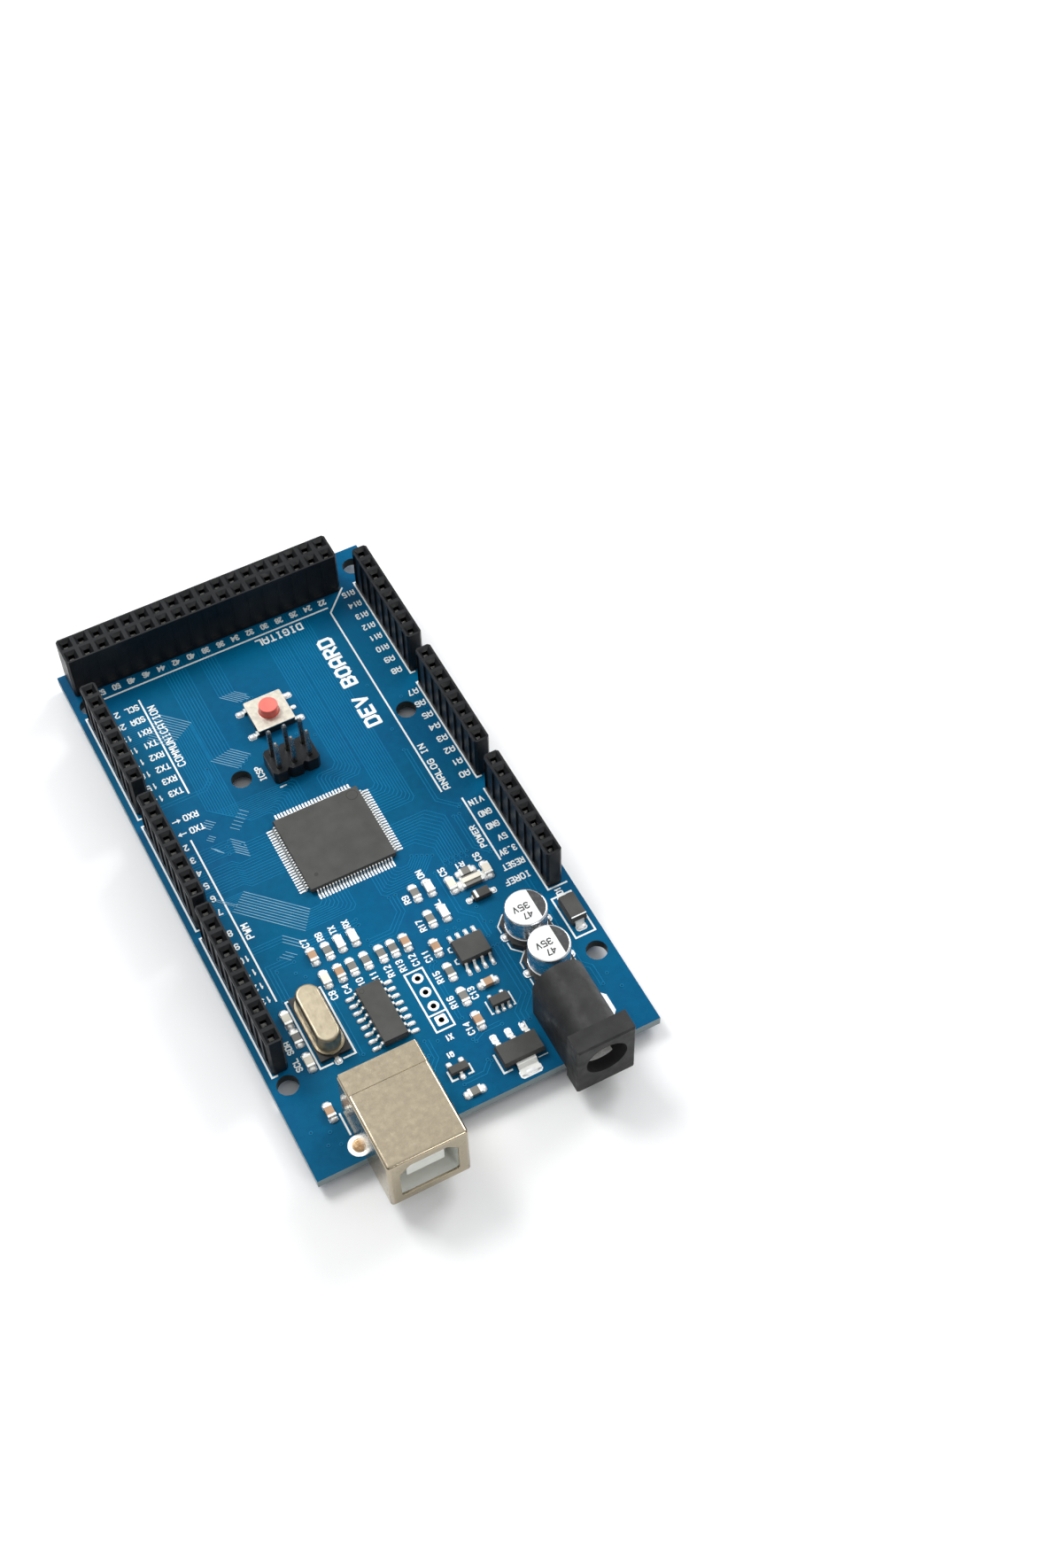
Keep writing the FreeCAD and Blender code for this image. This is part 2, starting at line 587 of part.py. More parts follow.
def dual_leads(centre, count, along_v, start=1.95, reach=3.05):
    """Leads of a small-outline package whose rows run along v or along u."""
    u, v = centre
    leads = []
    for offset in row_offsets(count, SMALL_OUTLINE_PITCH):
        for sign in (-1, 1):
            if along_v:
                lead = gull_lead(u, v + offset, (sign, 0), start, reach, 0.95, 0.42, 0.2, 0.6)
            else:
                lead = gull_lead(u + offset, v, (0, sign), start, reach, 0.95, 0.42, 0.2, 0.6)
            leads.append(lead)
    return leads


def sot_leads(centre, rows, start, reach, height, sheet, foot):
    """Leads on the two long sides; rows lists (sign along v, offset along u, width)."""
    u, v = centre
    return [gull_lead(u + offset, v, (0, sign), start, reach, height, width, sheet, foot)
            for sign, offset, width in rows]


def strap_leads(centre, half_body, reach, width, height, along_v):
    """Two flat straps that leave the body ends and tuck down to the board."""
    u, v = centre
    leads = []
    for sign in (-1, 1):
        along = (0, sign) if along_v else (sign, 0)
        leads.append(gull_lead(u, v, along, half_body, reach, height, width, 0.18, 0.35 * (reach - half_body)))
    return leads


# ---- two-terminal chips -------------------------------------------------------------------------
def chip(u, v, along_u, height, length=CHIP_LENGTH, width=CHIP_WIDTH):
    """Body between two plated end caps; returns (body, [caps])."""
    inner = length / 2 - CHIP_TERMINAL
    skin = 0.03
    body = centred_box(u, v, width - 2 * skin, 2 * inner, skin, height - skin)
    caps = [box(u - width / 2, u + width / 2, v + inner, v + length / 2, 0, height),
            box(u - width / 2, u + width / 2, v - length / 2, v - inner, 0, height)]
    turns = 1 if along_u else 0
    return quarter_turned(body, u, v, turns), [quarter_turned(cap, u, v, turns) for cap in caps]


def save_chips(name, places, height):
    bodies, caps = [], []
    for u, v, along_u in places:
        body, pair = chip(u, v, along_u, height)
        bodies.append(body)
        caps += pair
    save(name + "_bodies", bodies)
    save(name + "_terminals", caps)


# ---- crystal --------------------------------------------------------------------------------------
def crystal_can():
    u, v = CRYSTAL_CENTRE
    flange_low, flange_high = 0.7, 1.1
    dome = obround(u, v, *CRYSTAL_CAN, flange_high, CRYSTAL_TOP)
    top = [edge for edge in dome.Edges if abs(edge.CenterOfMass.z - CRYSTAL_TOP) < 1e-6]
    dome = dome.makeFillet(0.5, top)
    flange = obround(u, v, *CRYSTAL_FLANGE, flange_low, flange_high)
    return dome.fuse(flange)


def crystal_leads():
    u, v = CRYSTAL_CENTRE
    leads = []
    for sign in (-1, 1):
        inner, outer = sorted((v + sign * 4.2, v + sign * 6.5))
        leads.append(box(u - 0.3, u + 0.3, inner, outer, 0, 0.2))
    return leads


# ---- reset switch -----------------------------------------------------------------------------------
def reset_base():
    u, v = RESET_CENTRE
    top = RESET_COVER_TOP - RESET_SHEET
    block = centred_box(u, v, RESET_SIDE, RESET_SIDE, 0.05, top)
    recess = post(u, v, RESET_RECESS_R, RESET_RECESS_FLOOR, top + 1)
    return block.cut(recess)


def reset_cover():
    """Sheet lid with a hole for the plunger and two straps folded down its sides."""
    u, v = RESET_CENTRE
    half = RESET_COVER_SIDE / 2
    low = RESET_COVER_TOP - RESET_SHEET
    lid = centred_box(u, v, RESET_COVER_SIDE, RESET_COVER_SIDE, low, RESET_COVER_TOP)
    lid = lid.makeFillet(0.3, vertical_edges(lid))
    straps = []
    for sign in (-1, 1):
        inner, outer = sorted((u + sign * RESET_SIDE / 2, u + sign * half))
        straps.append(box(inner, outer, v - 1.3, v + 1.3, 0.5, low))
    hole = post(u, v, RESET_PLUNGER_R + 0.15, low - 1, RESET_COVER_TOP + 1)
    return lid.fuse(straps).removeSplitter().cut(hole)


def reset_dome():
    """Snap disc: a thin spherical cap that rests in the recess."""
    u, v = RESET_CENTRE
    rim_r, rise, sheet = 2.3, 0.5, 0.08
    radius = (rim_r ** 2 + rise ** 2) / (2 * rise)
    floor = RESET_RECESS_FLOOR
    centre = FreeCAD.Vector(u, v, floor + rise - radius)
    outer = Part.makeSphere(radius, centre)
    inner = Part.makeSphere(radius - sheet, centre)
    keep = post(u, v, RESET_RECESS_R, floor, floor + rise + 1)
    return outer.cut(inner).common(keep)


def reset_plunger():
    """Button with a flange that the cover holds in."""
    u, v = RESET_CENTRE
    flange_top = RESET_COVER_TOP - RESET_SHEET - 0.05
    flange = post(u, v, 2.1, flange_top - 0.3, flange_top)
    stem = post(u, v, RESET_PLUNGER_R, flange_top - 0.3, RESET_PLUNGER_TOP)
    rim = [edge for edge in stem.Edges if abs(edge.CenterOfMass.z - RESET_PLUNGER_TOP) < 1e-6]
    return stem.makeFillet(0.15, rim).fuse(flange).removeSplitter()


def reset_leads():
    u, v = RESET_CENTRE
    leads = []
    for dv in (-RESET_LEAD_PITCH / 2, RESET_LEAD_PITCH / 2):
        for sign in (-1, 1):
            leads.append(gull_lead(u, v + dv, (sign, 0), RESET_SIDE / 2, RESET_LEAD_REACH, 0.6, 0.8, 0.2, 0.7))
    return leads


# ---- write every node ---------------------------------------------------------------------------------
def save_headers():
    groups = {"digital": [row_along_v(DIGITAL_ROW_U, *header) for header in DIGITAL_HEADERS],
              "communication": [COMMUNICATION_PINS],
              "power": [POWER_PINS],
              "analog_near": [ANALOG_NEAR_PINS],
              "analog_far": [ANALOG_FAR_PINS]}
    for name, rows in groups.items():
        save(name + "_header_housing", [single_row_housing(row) for row in rows])
        save(name + "_header_contacts", [header_contact(*pin) for row in rows for pin in row])
    save("double_header_housing", [double_row_housing()])
    save("double_header_contacts", [header_contact(*pin) for pin in DOUBLE_PINS])
    save("icsp_base", [icsp_base()])
    save("icsp_pins", [square_pin(*pin) for pin in ICSP_PINS])


def save_solder():
    joints = [solder_joint(u, v, PIN_HOLE_R, TAIL_WIDTH, TAIL_THICKNESS, 0.9) for u, v in HEADER_PINS]
    joints += [solder_joint(u, v, PIN_HOLE_R, PIN_SQUARE, PIN_SQUARE, 0.9) for u, v in ICSP_PINS]
    save("header_solder_joints", joints)
    port = [solder_joint(u, v, PIN_HOLE_R, 0.5, 0.5, 0.9) for u, v in USB_PINS]
    for u, v in USB_TABS:
        ring = post(u, v, USB_TAB_HOLE_R, BOARD_BOTTOM, 0)
        cone = Part.makeCone(1.1, 1.7, 0.7, FreeCAD.Vector(u, v, BOARD_BOTTOM - 0.7))
        inward = USB_SHEET if u < USB_CENTRE_U else -USB_SHEET
        near, far = sorted((u, u + inward))
        tab = box(near, far, v - USB_TAB_WIDTH / 2, v + USB_TAB_WIDTH / 2, LOWEST - 1, 1)
        port.append(ring.fuse(cone).cut(tab))
    port += [blade_joint(u, v, True) for u, v in JACK_CROSS_TAILS]
    port.append(blade_joint(*JACK_SIDE_TAIL, False))
    save("connector_solder_joints", port)


def save_usb():
    contacts = usb_contacts()
    save("usb_shell", [usb_shell()])
    save("usb_contacts", contacts)
    save("usb_insulator", [usb_insulator(contacts)])


def save_jack():
    pin = jack_center_pin()
    spring = jack_spring_contact()
    switch = jack_switch_contact()
    save("jack_center_pin", [pin])
    save("jack_spring_contact", [spring])
    save("jack_switch_contact", [switch])
    save("jack_housing", [jack_housing([pin, spring, switch])])


def save_capacitors():
    save("capacitor_cans", [capacitor_can(*place) for place in CAPACITORS])
    save("capacitor_bases", [capacitor_base(*place) for place in CAPACITORS])
    save("capacitor_leads", [lead for place in CAPACITORS for lead in capacitor_leads(*place)])


def save_packages():
    save("mcu_body", [moulded_body(*MCU_CENTRE, MCU_SIDE, MCU_SIDE, 0.1, 1.1)])
    save("mcu_leads", quad_leads())
    save("usb_chip_body", [moulded_body(*USB_CHIP_CENTRE, 3.9, 9.9, 0.15, 1.6)])
    save("usb_chip_leads", dual_leads(USB_CHIP_CENTRE, 8, True))
    save("comparator_body", [moulded_body(*COMPARATOR_CENTRE, 4.9, 3.9, 0.15, 1.6)])
    save("comparator_leads", dual_leads(COMPARATOR_CENTRE, 4, False))
    save("regulator_body", [moulded_body(*REGULATOR_CENTRE, 6.5, 3.5, 0.05, 1.65, 0.2)])
    regulator_rows = [(1, offset, 0.75) for offset in row_offsets(3, 2.3)] + [(-1, 0, 3.0)]
    save("regulator_leads", sot_leads(REGULATOR_CENTRE, regulator_rows, 1.75, 3.6, 0.9, 0.26, 1.0))
    save("small_regulator_body", [moulded_body(*SMALL_REGULATOR_CENTRE, 2.9, 1.6, 0.1, 1.2, 0.08)])
    small_rows = [(-1, offset, 0.4) for offset in row_offsets(3, 0.95)]
    small_rows += [(1, offset, 0.4) for offset in row_offsets(2, 1.9)]
    save("small_regulator_leads", sot_leads(SMALL_REGULATOR_CENTRE, small_rows, 0.8, 1.4, 0.7, 0.12, 0.35))
    save("transistor_body", [moulded_body(*TRANSISTOR_CENTRE, 2.9, 1.3, 0.05, 1.0, 0.08)])
    transistor_rows = [(1, -0.95, 0.42), (1, 0.95, 0.42), (-1, 0, 0.42)]
    save("transistor_leads", sot_leads(TRANSISTOR_CENTRE, transistor_rows, 0.65, 1.25, 0.6, 0.12, 0.35))
    save("power_diode_body", [moulded_body(*POWER_DIODE_CENTRE, 2.6, 4.3, 0.1, 2.2)])
    save("power_diode_leads", strap_leads(POWER_DIODE_CENTRE, 2.15, 2.65, 1.45, 1.2, True))
    save("signal_diode_body", [moulded_body(*SIGNAL_DIODE_CENTRE, 2.7, 1.6, 0.05, 1.15)])
    save("signal_diode_leads", strap_leads(SIGNAL_DIODE_CENTRE, 1.35, 1.85, 0.6, 0.65, False))


def save_small_parts():
    save_chips("resistor", RESISTORS, 0.55)
    save_chips("ceramic_capacitor", CERAMICS, 0.85)
    save_chips("led", LEDS, 0.8)
    body, caps = chip(*RESONATOR, True, 0.8, *RESONATOR_SIZE)
    save("resonator_body", [body])
    save("resonator_terminals", caps)
    u, v = CRYSTAL_CENTRE
    save("crystal_can", [crystal_can()])
    save("crystal_base", [centred_box(u, v, 4.7, 11.2, 0.2, 0.7)])
    save("crystal_leads", crystal_leads())


def save_reset_switch():
    save("reset_base", [reset_base()])
    save("reset_cover", [reset_cover()])
    save("reset_dome", [reset_dome()])
    save("reset_plunger", [reset_plunger()])
    save("reset_leads", reset_leads())


os.makedirs("parts", exist_ok=True)
save("pcb", [bare_board()])
save_headers()
save_solder()
save_usb()
save_jack()
save_capacitors()
save_packages()
save_small_parts()
save_reset_switch()
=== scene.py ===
import math
import random

import bmesh
import bpy
from mathutils import Matrix, Vector


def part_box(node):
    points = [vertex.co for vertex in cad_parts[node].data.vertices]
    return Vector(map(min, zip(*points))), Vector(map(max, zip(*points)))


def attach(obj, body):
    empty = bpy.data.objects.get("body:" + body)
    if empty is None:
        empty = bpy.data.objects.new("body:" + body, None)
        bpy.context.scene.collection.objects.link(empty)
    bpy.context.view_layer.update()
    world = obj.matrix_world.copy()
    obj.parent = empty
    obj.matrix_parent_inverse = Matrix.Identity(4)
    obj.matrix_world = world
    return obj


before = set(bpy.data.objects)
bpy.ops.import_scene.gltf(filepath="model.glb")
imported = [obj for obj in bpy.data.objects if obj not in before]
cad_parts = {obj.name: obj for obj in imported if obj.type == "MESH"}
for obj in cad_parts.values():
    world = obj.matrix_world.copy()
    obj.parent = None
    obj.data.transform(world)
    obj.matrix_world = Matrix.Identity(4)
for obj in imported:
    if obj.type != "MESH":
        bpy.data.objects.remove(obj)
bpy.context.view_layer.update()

# The looks of a blue microcontroller board. Places on the board are given in
# millimetres on its own grid: u across from the digital edge, v along from the
# edge with the USB port, z up from the face that carries the parts.

MM = 0.001
BOARD_LOW, BOARD_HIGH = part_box("pcb")
BOARD_THICKNESS = (BOARD_HIGH.z - BOARD_LOW.z) / MM
BOARD_WIDTH = (BOARD_HIGH.x - BOARD_LOW.x) / MM
BOARD_LENGTH = (BOARD_HIGH.y - BOARD_LOW.y) / MM
PITCH = 2.54

QUARTER, HALF = 1, 2          # turns of lettering, in quarter turns
COPPER = 0.03                 # how far copper stands up under the mask
INK = 0.055                   # top of the printed lines, clear of the copper
LINE = 0.27                   # width of a printed line


def at(u, v, z=0.0):
    """A point on the board's grid, in the frame's metres."""
    return Vector((BOARD_LOW.x + u * MM, BOARD_LOW.y + v * MM, BOARD_HIGH.z + z * MM))


def grid_box(node):
    """Lowest and highest corners of a CAD node on the board's grid."""
    low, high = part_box(node)
    origin = at(0, 0, 0)
    return (low - origin) / MM, (high - origin) / MM


# ---------------------------------------------------------------- materials
class Finish:
    """A Principled material whose detail comes from noise in the frame's own coordinates."""

    def __init__(self, name, colour, roughness, metallic=0.0, **sockets):
        self.material = bpy.data.materials.new(name)
        self.material.use_nodes = True
        self.tree = self.material.node_tree
        self.shader = self.tree.nodes["Principled BSDF"]
        self.colour = (*colour, 1.0)
        self.shader.inputs["Base Color"].default_value = self.colour
        self.shader.inputs["Roughness"].default_value = roughness
        self.shader.inputs["Metallic"].default_value = metallic
        for key, value in sockets.items():
            self.shader.inputs[key.replace("_", " ")].default_value = value
        self.place = self.tree.nodes.new("ShaderNodeTexCoord").outputs["Object"]
        self.relief = None

    def noise(self, size_mm, detail=2.0, stretch=(1, 1, 1)):
        """Noise from 0 to 1 with blotches about size_mm across, drawn out along an axis by stretch."""
        mapping = self.tree.nodes.new("ShaderNodeMapping")
        mapping.inputs["Scale"].default_value = [1 / (size_mm * MM * s) for s in stretch]
        self.tree.links.new(self.place, mapping.inputs["Vector"])
        texture = self.tree.nodes.new("ShaderNodeTexNoise")
        texture.inputs["Scale"].default_value = 1.0
        texture.inputs["Detail"].default_value = detail
        self.tree.links.new(mapping.outputs["Vector"], texture.inputs["Vector"])
        return texture.outputs["Fac"]

    def spread(self, value, low, high, to_low, to_high):
        """Stretch part of a value's range over another range."""
        node = self.tree.nodes.new("ShaderNodeMapRange")
        for key, number in zip(("From Min", "From Max", "To Min", "To Max"), (low, high, to_low, to_high)):
            node.inputs[key].default_value = number
        self.tree.links.new(value, node.inputs["Value"])
        return node.outputs["Result"]

    def tint(self, factor, colour):
        """Mix another colour over what the base colour has so far."""
        mix = self.tree.nodes.new("ShaderNodeMix")
        mix.data_type = "RGBA"
        base = self.shader.inputs["Base Color"]
        if base.is_linked:
            self.tree.links.new(base.links[0].from_socket, mix.inputs[6])
        else:
            mix.inputs[6].default_value = self.colour
        mix.inputs[7].default_value = (*colour, 1.0)
        self.tree.links.new(factor, mix.inputs[0])
        self.tree.links.new(mix.outputs[2], base)
        return self

    def mottle(self, size_mm, colour, amount=1.0, detail=2.0, stretch=(1, 1, 1), low=0.35, high=0.65):
        """Soft patches of another colour."""
        patches = self.noise(size_mm, detail, stretch)
        return self.tint(self.spread(patches, low, high, 0.0, amount), colour)

    def gloss(self, size_mm, low, high, stretch=(1, 1, 1)):
        """Roughness that wanders between two values."""
        wander = self.spread(self.noise(size_mm, 3.0, stretch), 0.3, 0.7, low, high)
        self.tree.links.new(wander, self.shader.inputs["Roughness"])
        return self

    def grain(self, size_mm, depth_mm, detail=2.0, stretch=(1, 1, 1)):
        """Fine relief, added to any relief there is."""
        bump = self.tree.nodes.new("ShaderNodeBump")
        bump.inputs["Distance"].default_value = depth_mm * MM
        bump.inputs["Strength"].default_value = 1.0
        self.tree.links.new(self.noise(size_mm, detail, stretch), bump.inputs["Height"])
        if self.relief:
            self.tree.links.new(self.relief, bump.inputs["Normal"])
        self.relief = bump.outputs["Normal"]
        self.tree.links.new(self.relief, self.shader.inputs["Normal"])
        return self

    def sum_of(self, operation, first, second=None):
        node = self.tree.nodes.new("ShaderNodeMath")
        node.operation = operation
        for socket, value in zip(node.inputs, (first, second)):
            if isinstance(value, (int, float)):
                socket.default_value = value
            elif value is not None:
                self.tree.links.new(value, socket)
        return node.outputs[0]

    def sides(self, colour, steepness=0.6):
        """Another colour on faces that stand upright."""
        geometry = self.tree.nodes.new("ShaderNodeNewGeometry")
        split = self.tree.nodes.new("ShaderNodeSeparateXYZ")
        self.tree.links.new(geometry.outputs["True Normal"], split.inputs["Vector"])
        upright = self.sum_of("ABSOLUTE", split.outputs["Z"])
        return self.tint(self.spread(upright, steepness, steepness - 0.2, 0.0, 1.0), colour)

    def rim(self, low, high, colour, depth=0.0006):
        """Another colour on whatever lies within a depth of a box's upright faces."""
        split = self.tree.nodes.new("ShaderNodeSeparateXYZ")
        self.tree.links.new(self.place, split.inputs["Vector"])
        across = self.sum_of("ABSOLUTE", self.sum_of("SUBTRACT", split.outputs["X"], (low.x + high.x) / 2))
        along = self.sum_of("ABSOLUTE", self.sum_of("SUBTRACT", split.outputs["Y"], (low.y + high.y) / 2))
        across = self.sum_of("SUBTRACT", across, (high.x - low.x) / 2)
        along = self.sum_of("SUBTRACT", along, (high.y - low.y) / 2)
        nearest = self.sum_of("MAXIMUM", across, along)
        geometry = self.tree.nodes.new("ShaderNodeNewGeometry")
        facing = self.tree.nodes.new("ShaderNodeSeparateXYZ")
        self.tree.links.new(geometry.outputs["True Normal"], facing.inputs["Vector"])
        upright = self.sum_of("LESS_THAN", self.sum_of("ABSOLUTE", facing.outputs["Z"]), 0.5)
        edge = self.sum_of("MULTIPLY", self.spread(nearest, -depth, -depth / 2, 0.0, 1.0), upright)
        return self.tint(edge, colour)


def plastic(name, colour, roughness, lighter, grain_mm=0.25, depth_mm=0.006, shine=0.5):
    """Moulded plastic: faint cloudy tone, uneven sheen and a fine surface grain."""
    finish = Finish(name, colour, roughness, Specular_IOR_Level=shine)
    finish.mottle(3.0, lighter, 0.6)
    finish.gloss(1.2, roughness - 0.08, roughness + 0.1)
    return finish.grain(grain_mm, depth_mm).material


def metal(name, colour, roughness, stain, patch_mm=2.5, stretch=(1, 1, 1), depth_mm=0.004, metallic=1.0):
    """Plated metal: stained patches, uneven polish and light working marks."""
    finish = Finish(name, colour, roughness, metallic)
    finish.mottle(patch_mm, stain, 0.7, 4.0)
    finish.gloss(patch_mm * 0.4, max(0.05, roughness - 0.1), roughness + 0.12, stretch)
    return finish.grain(0.3, depth_mm, 3.0, stretch).material


def board_finish():
    """Glossy blue mask over woven laminate, with pale sawn edges and painted shade on the walls of the holes."""
    finish = Finish("blue_solder_mask", (0.0004, 0.080, 0.165), 0.3, Specular_IOR_Level=0.06)
    finish.mottle(34, (0.0004, 0.118, 0.240), 1.0)
    finish.mottle(20, (0.002, 0.072, 0.180), 0.7)
    finish.mottle(1.1, (0.001, 0.120, 0.250), 0.3, 3.0)
    finish.gloss(6, 0.24, 0.38)
    finish.grain(0.45, 0.006).grain(7, 0.05)
    # Upright faces get a near-black colour, painted shade in the holes; the rim gives the outer sawn edges their own
    # pale colour.
    return finish.sides((0.030, 0.040, 0.042)).rim(BOARD_LOW, BOARD_HIGH, (0.24, 0.29, 0.30)).material


def copper_finish(name, colour, lighter):
    finish = Finish(name, colour, 0.28, Specular_IOR_Level=0.1)
    finish.mottle(2.0, lighter, 0.6)
    return finish.grain(0.3, 0.004).material


def ink_finish(name, colour, worn):
    finish = Finish(name, colour, 0.55)
    finish.mottle(0.5, worn, 0.5, 3.0, low=0.5, high=0.75)
    return finish.grain(0.12, 0.004).material


def shell_finish():
    """Nickel sheet with the sand-like speckle and soft scuffs of a handled can."""
    finish = Finish("nickel_sheet", (0.455, 0.385, 0.275), 0.27, 1.0)
    finish.mottle(5.0, (0.425, 0.36, 0.258), 0.6, 3.0)
    finish.mottle(0.3, (0.50, 0.43, 0.32), 0.5, 3.0)
    finish.gloss(0.8, 0.18, 0.28)
    return finish.grain(0.35, 0.005, 3.0).grain(6.0, 0.010).material


MATERIALS = {
    "board": board_finish(),
    "track": copper_finish("masked_copper", (0.002, 0.140, 0.295), (0.004, 0.172, 0.345)),
    # Painted highlight: a pale copper colour that stands in for the window's reflection on diagonal tracks.
    "glint": copper_finish("masked_copper_painted_glint", (0.14, 0.32, 0.46), (0.26, 0.45, 0.58)),
    # Painted shade: a dark blue that stands in for the shade inside each via's hole.
    "via": copper_finish("via_painted_shade", (0.002, 0.040, 0.090), (0.004, 0.060, 0.120)),
    "ink": ink_finish("white_ink", (0.86, 0.89, 0.87), (0.66, 0.75, 0.77)),
    "black_ink": ink_finish("black_ink", (0.03, 0.03, 0.032), (0.10, 0.10, 0.10)),
    "header": plastic("header_plastic", (0.008, 0.009, 0.010), 0.36, (0.015, 0.016, 0.018), shine=0.2),
    "jack": plastic("jack_plastic", (0.018, 0.018, 0.018), 0.5, (0.036, 0.036, 0.035), 0.35, 0.016, 0.25),
    "base": plastic("dark_base_plastic", (0.010, 0.010, 0.010), 0.5, (0.02, 0.02, 0.02)),
    "package": plastic("package_epoxy", (0.050, 0.050, 0.046), 0.52, (0.070, 0.070, 0.065), 0.12, 0.010, 0.3),
    "insulator": plastic("white_nylon", (0.78, 0.80, 0.74), 0.4, (0.88, 0.89, 0.84)),
    "tin": metal("tin_plate", (0.86, 0.86, 0.82), 0.36, (0.72, 0.72, 0.68), metallic=0.6),
    "solder": metal("bright_solder", (0.90, 0.91, 0.90), 0.36, (0.78, 0.79, 0.79), 0.8, metallic=0.55),
    "pin": metal("polished_pin", (0.88, 0.88, 0.85), 0.14, (0.72, 0.71, 0.67)),
    "leaf": metal("polished_leaf", (0.95, 0.95, 0.92), 0.3, (0.86, 0.86, 0.83), 1.5, metallic=0.15),
    "dull_pin": metal("tarnished_pin", (0.36, 0.36, 0.35), 0.28, (0.20, 0.20, 0.20), 0.8),
    "gilt": metal("gold_flash", (0.85, 0.62, 0.28), 0.22, (0.66, 0.48, 0.24)),
    "shell": shell_finish(),
    "can": metal("drawn_aluminium", (0.86, 0.87, 0.87), 0.26, (0.74, 0.75, 0.76), 2.0, (3, 3, 0.4)),
    "can_top": ink_finish("can_lid_lacquer", (0.90, 0.91, 0.90), (0.80, 0.82, 0.82)),
    "crystal": metal("crystal_nickel", (0.43, 0.375, 0.27), 0.42, (0.31, 0.265, 0.19), 1.1, (1, 3, 1), 0.008),
    "cover": metal("switch_cover_steel", (0.62, 0.58, 0.50), 0.42, (0.44, 0.41, 0.35), 0.9, (1, 1, 1), 0.008),
    "button": plastic("coral_button_plastic", (0.86, 0.135, 0.105), 0.38, (0.92, 0.20, 0.16)),
    "resistor": plastic("resistor_glaze", (0.16, 0.155, 0.14), 0.35, (0.24, 0.23, 0.20), 0.2, 0.008),
    "ceramic": plastic("tan_ceramic", (0.40, 0.235, 0.13), 0.45, (0.50, 0.31, 0.18), 0.2, 0.008),
    "pale": plastic("pale_ceramic", (0.78, 0.73, 0.60), 0.4, (0.86, 0.82, 0.70), 0.2, 0.006),
    "led": plastic("led_resin", (0.84, 0.86, 0.83), 0.22, (0.92, 0.93, 0.90), 0.3, 0.004),
    "flux": metal("flux_stained_solder", (0.16, 0.10, 0.055), 0.3, (0.50, 0.38, 0.24), 0.55),
}


# ------------------------------------------------------------- CAD nodes
NODE_FINISH = {
    "pcb": "board", "icsp_base": "header", "icsp_pins": "dull_pin",
    "header_solder_joints": "solder", "connector_solder_joints": "solder",
    "usb_shell": "shell", "usb_insulator": "insulator", "usb_contacts": "gilt",
    "jack_housing": "jack", "jack_center_pin": "pin", "capacitor_cans": "can",
    "capacitor_bases": "base", "crystal_can": "crystal", "crystal_base": "base",
    "resistor_bodies": "resistor", "ceramic_capacitor_bodies": "ceramic", "led_bodies": "led",
    "resonator_body": "resistor", "reset_base": "base", "reset_cover": "cover",
    "reset_dome": "pin", "reset_plunger": "button", "jack_spring_contact": "leaf",
}
EDGE_ROUNDING = {
    "usb_shell": 0.06, "usb_insulator": 0.12, "jack_housing": 0.12, "icsp_base": 0.08,
    "capacitor_bases": 0.08, "reset_cover": 0.05, "reset_base": 0.06, "mcu_body": 0.06, "crystal_can": 0.04,
    "resonator_body": 0.05, "power_diode_body": 0.06, "reset_plunger": 0.42,
}


def finish_for(node):
    if node in NODE_FINISH:
        return NODE_FINISH[node]
    if node.endswith("_housing"):
        return "header"
    return "package" if node.endswith("_body") else "tin"


def round_edges(thing, width_mm, segments=2):
    """Break the sharp edges, as moulding, stamping and sawing do."""
    weld = thing.modifiers.new("weld", "WELD")
    weld.merge_threshold = 1e-6
    bevel = thing.modifiers.new("round", "BEVEL")
    bevel.width = width_mm * MM
    bevel.segments = segments
    bevel.limit_method = "ANGLE"
    bevel.angle_limit = math.radians(35)
    bevel.use_clamp_overlap = True
    bevel.harden_normals = False


def dress_cad_nodes():
    for name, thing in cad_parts.items():
        thing.data.materials.clear()
        thing.data.materials.append(MATERIALS[finish_for(name)])
        width = EDGE_ROUNDING.get(name)
        if width is None and name.endswith("header_housing"):
            width = 0.07
        elif width is None and name.endswith(("_body", "_bodies", "_terminals")):
            width = 0.04
        if width:
            round_edges(thing, width)


# --------------------------------------------------------- building detail
def turned(points, centre, quarter_turns):
    angle = quarter_turns * math.pi / 2
    c, s = round(math.cos(angle)), round(math.sin(angle))
    return [(centre[0] + c * (u - centre[0]) - s * (v - centre[1]),
             centre[1] + s * (u - centre[0]) + c * (v - centre[1])) for u, v in points]


def squared(points, reach):
    """A line with both its ends drawn out by a reach."""
    first, second, last, before = Vector(points[0]), Vector(points[1]), Vector(points[-1]), Vector(points[-2])
    return [tuple(first + (first - second).normalized() * reach), *points[1:-1],
            tuple(last + (last - before).normalized() * reach)]


def corner_offsets(points, distance):
    """An open line moved sideways by a distance, with its corners mitred."""
    moved = []
    for i, point in enumerate(points):
        here = Vector(point)
        before = here - Vector(points[i - 1]) if i > 0 else None
        after = Vector(points[i + 1]) - here if i + 1 < len(points) else None
        before = (before or after).normalized()
        after = (after or before).normalized()
        normal_a = Vector((-before.y, before.x))
        normal_b = Vector((-after.y, after.x))
        mitre = (normal_a + normal_b).normalized()
        moved.append(tuple(here + mitre * (distance / max(0.4, mitre.dot(normal_a)))))
    return moved


def bundle(points, count, spacing):
    """Parallel copies of a line, side by side."""
    return [corner_offsets(points, (i - (count - 1) / 2) * spacing) for i in range(count)]


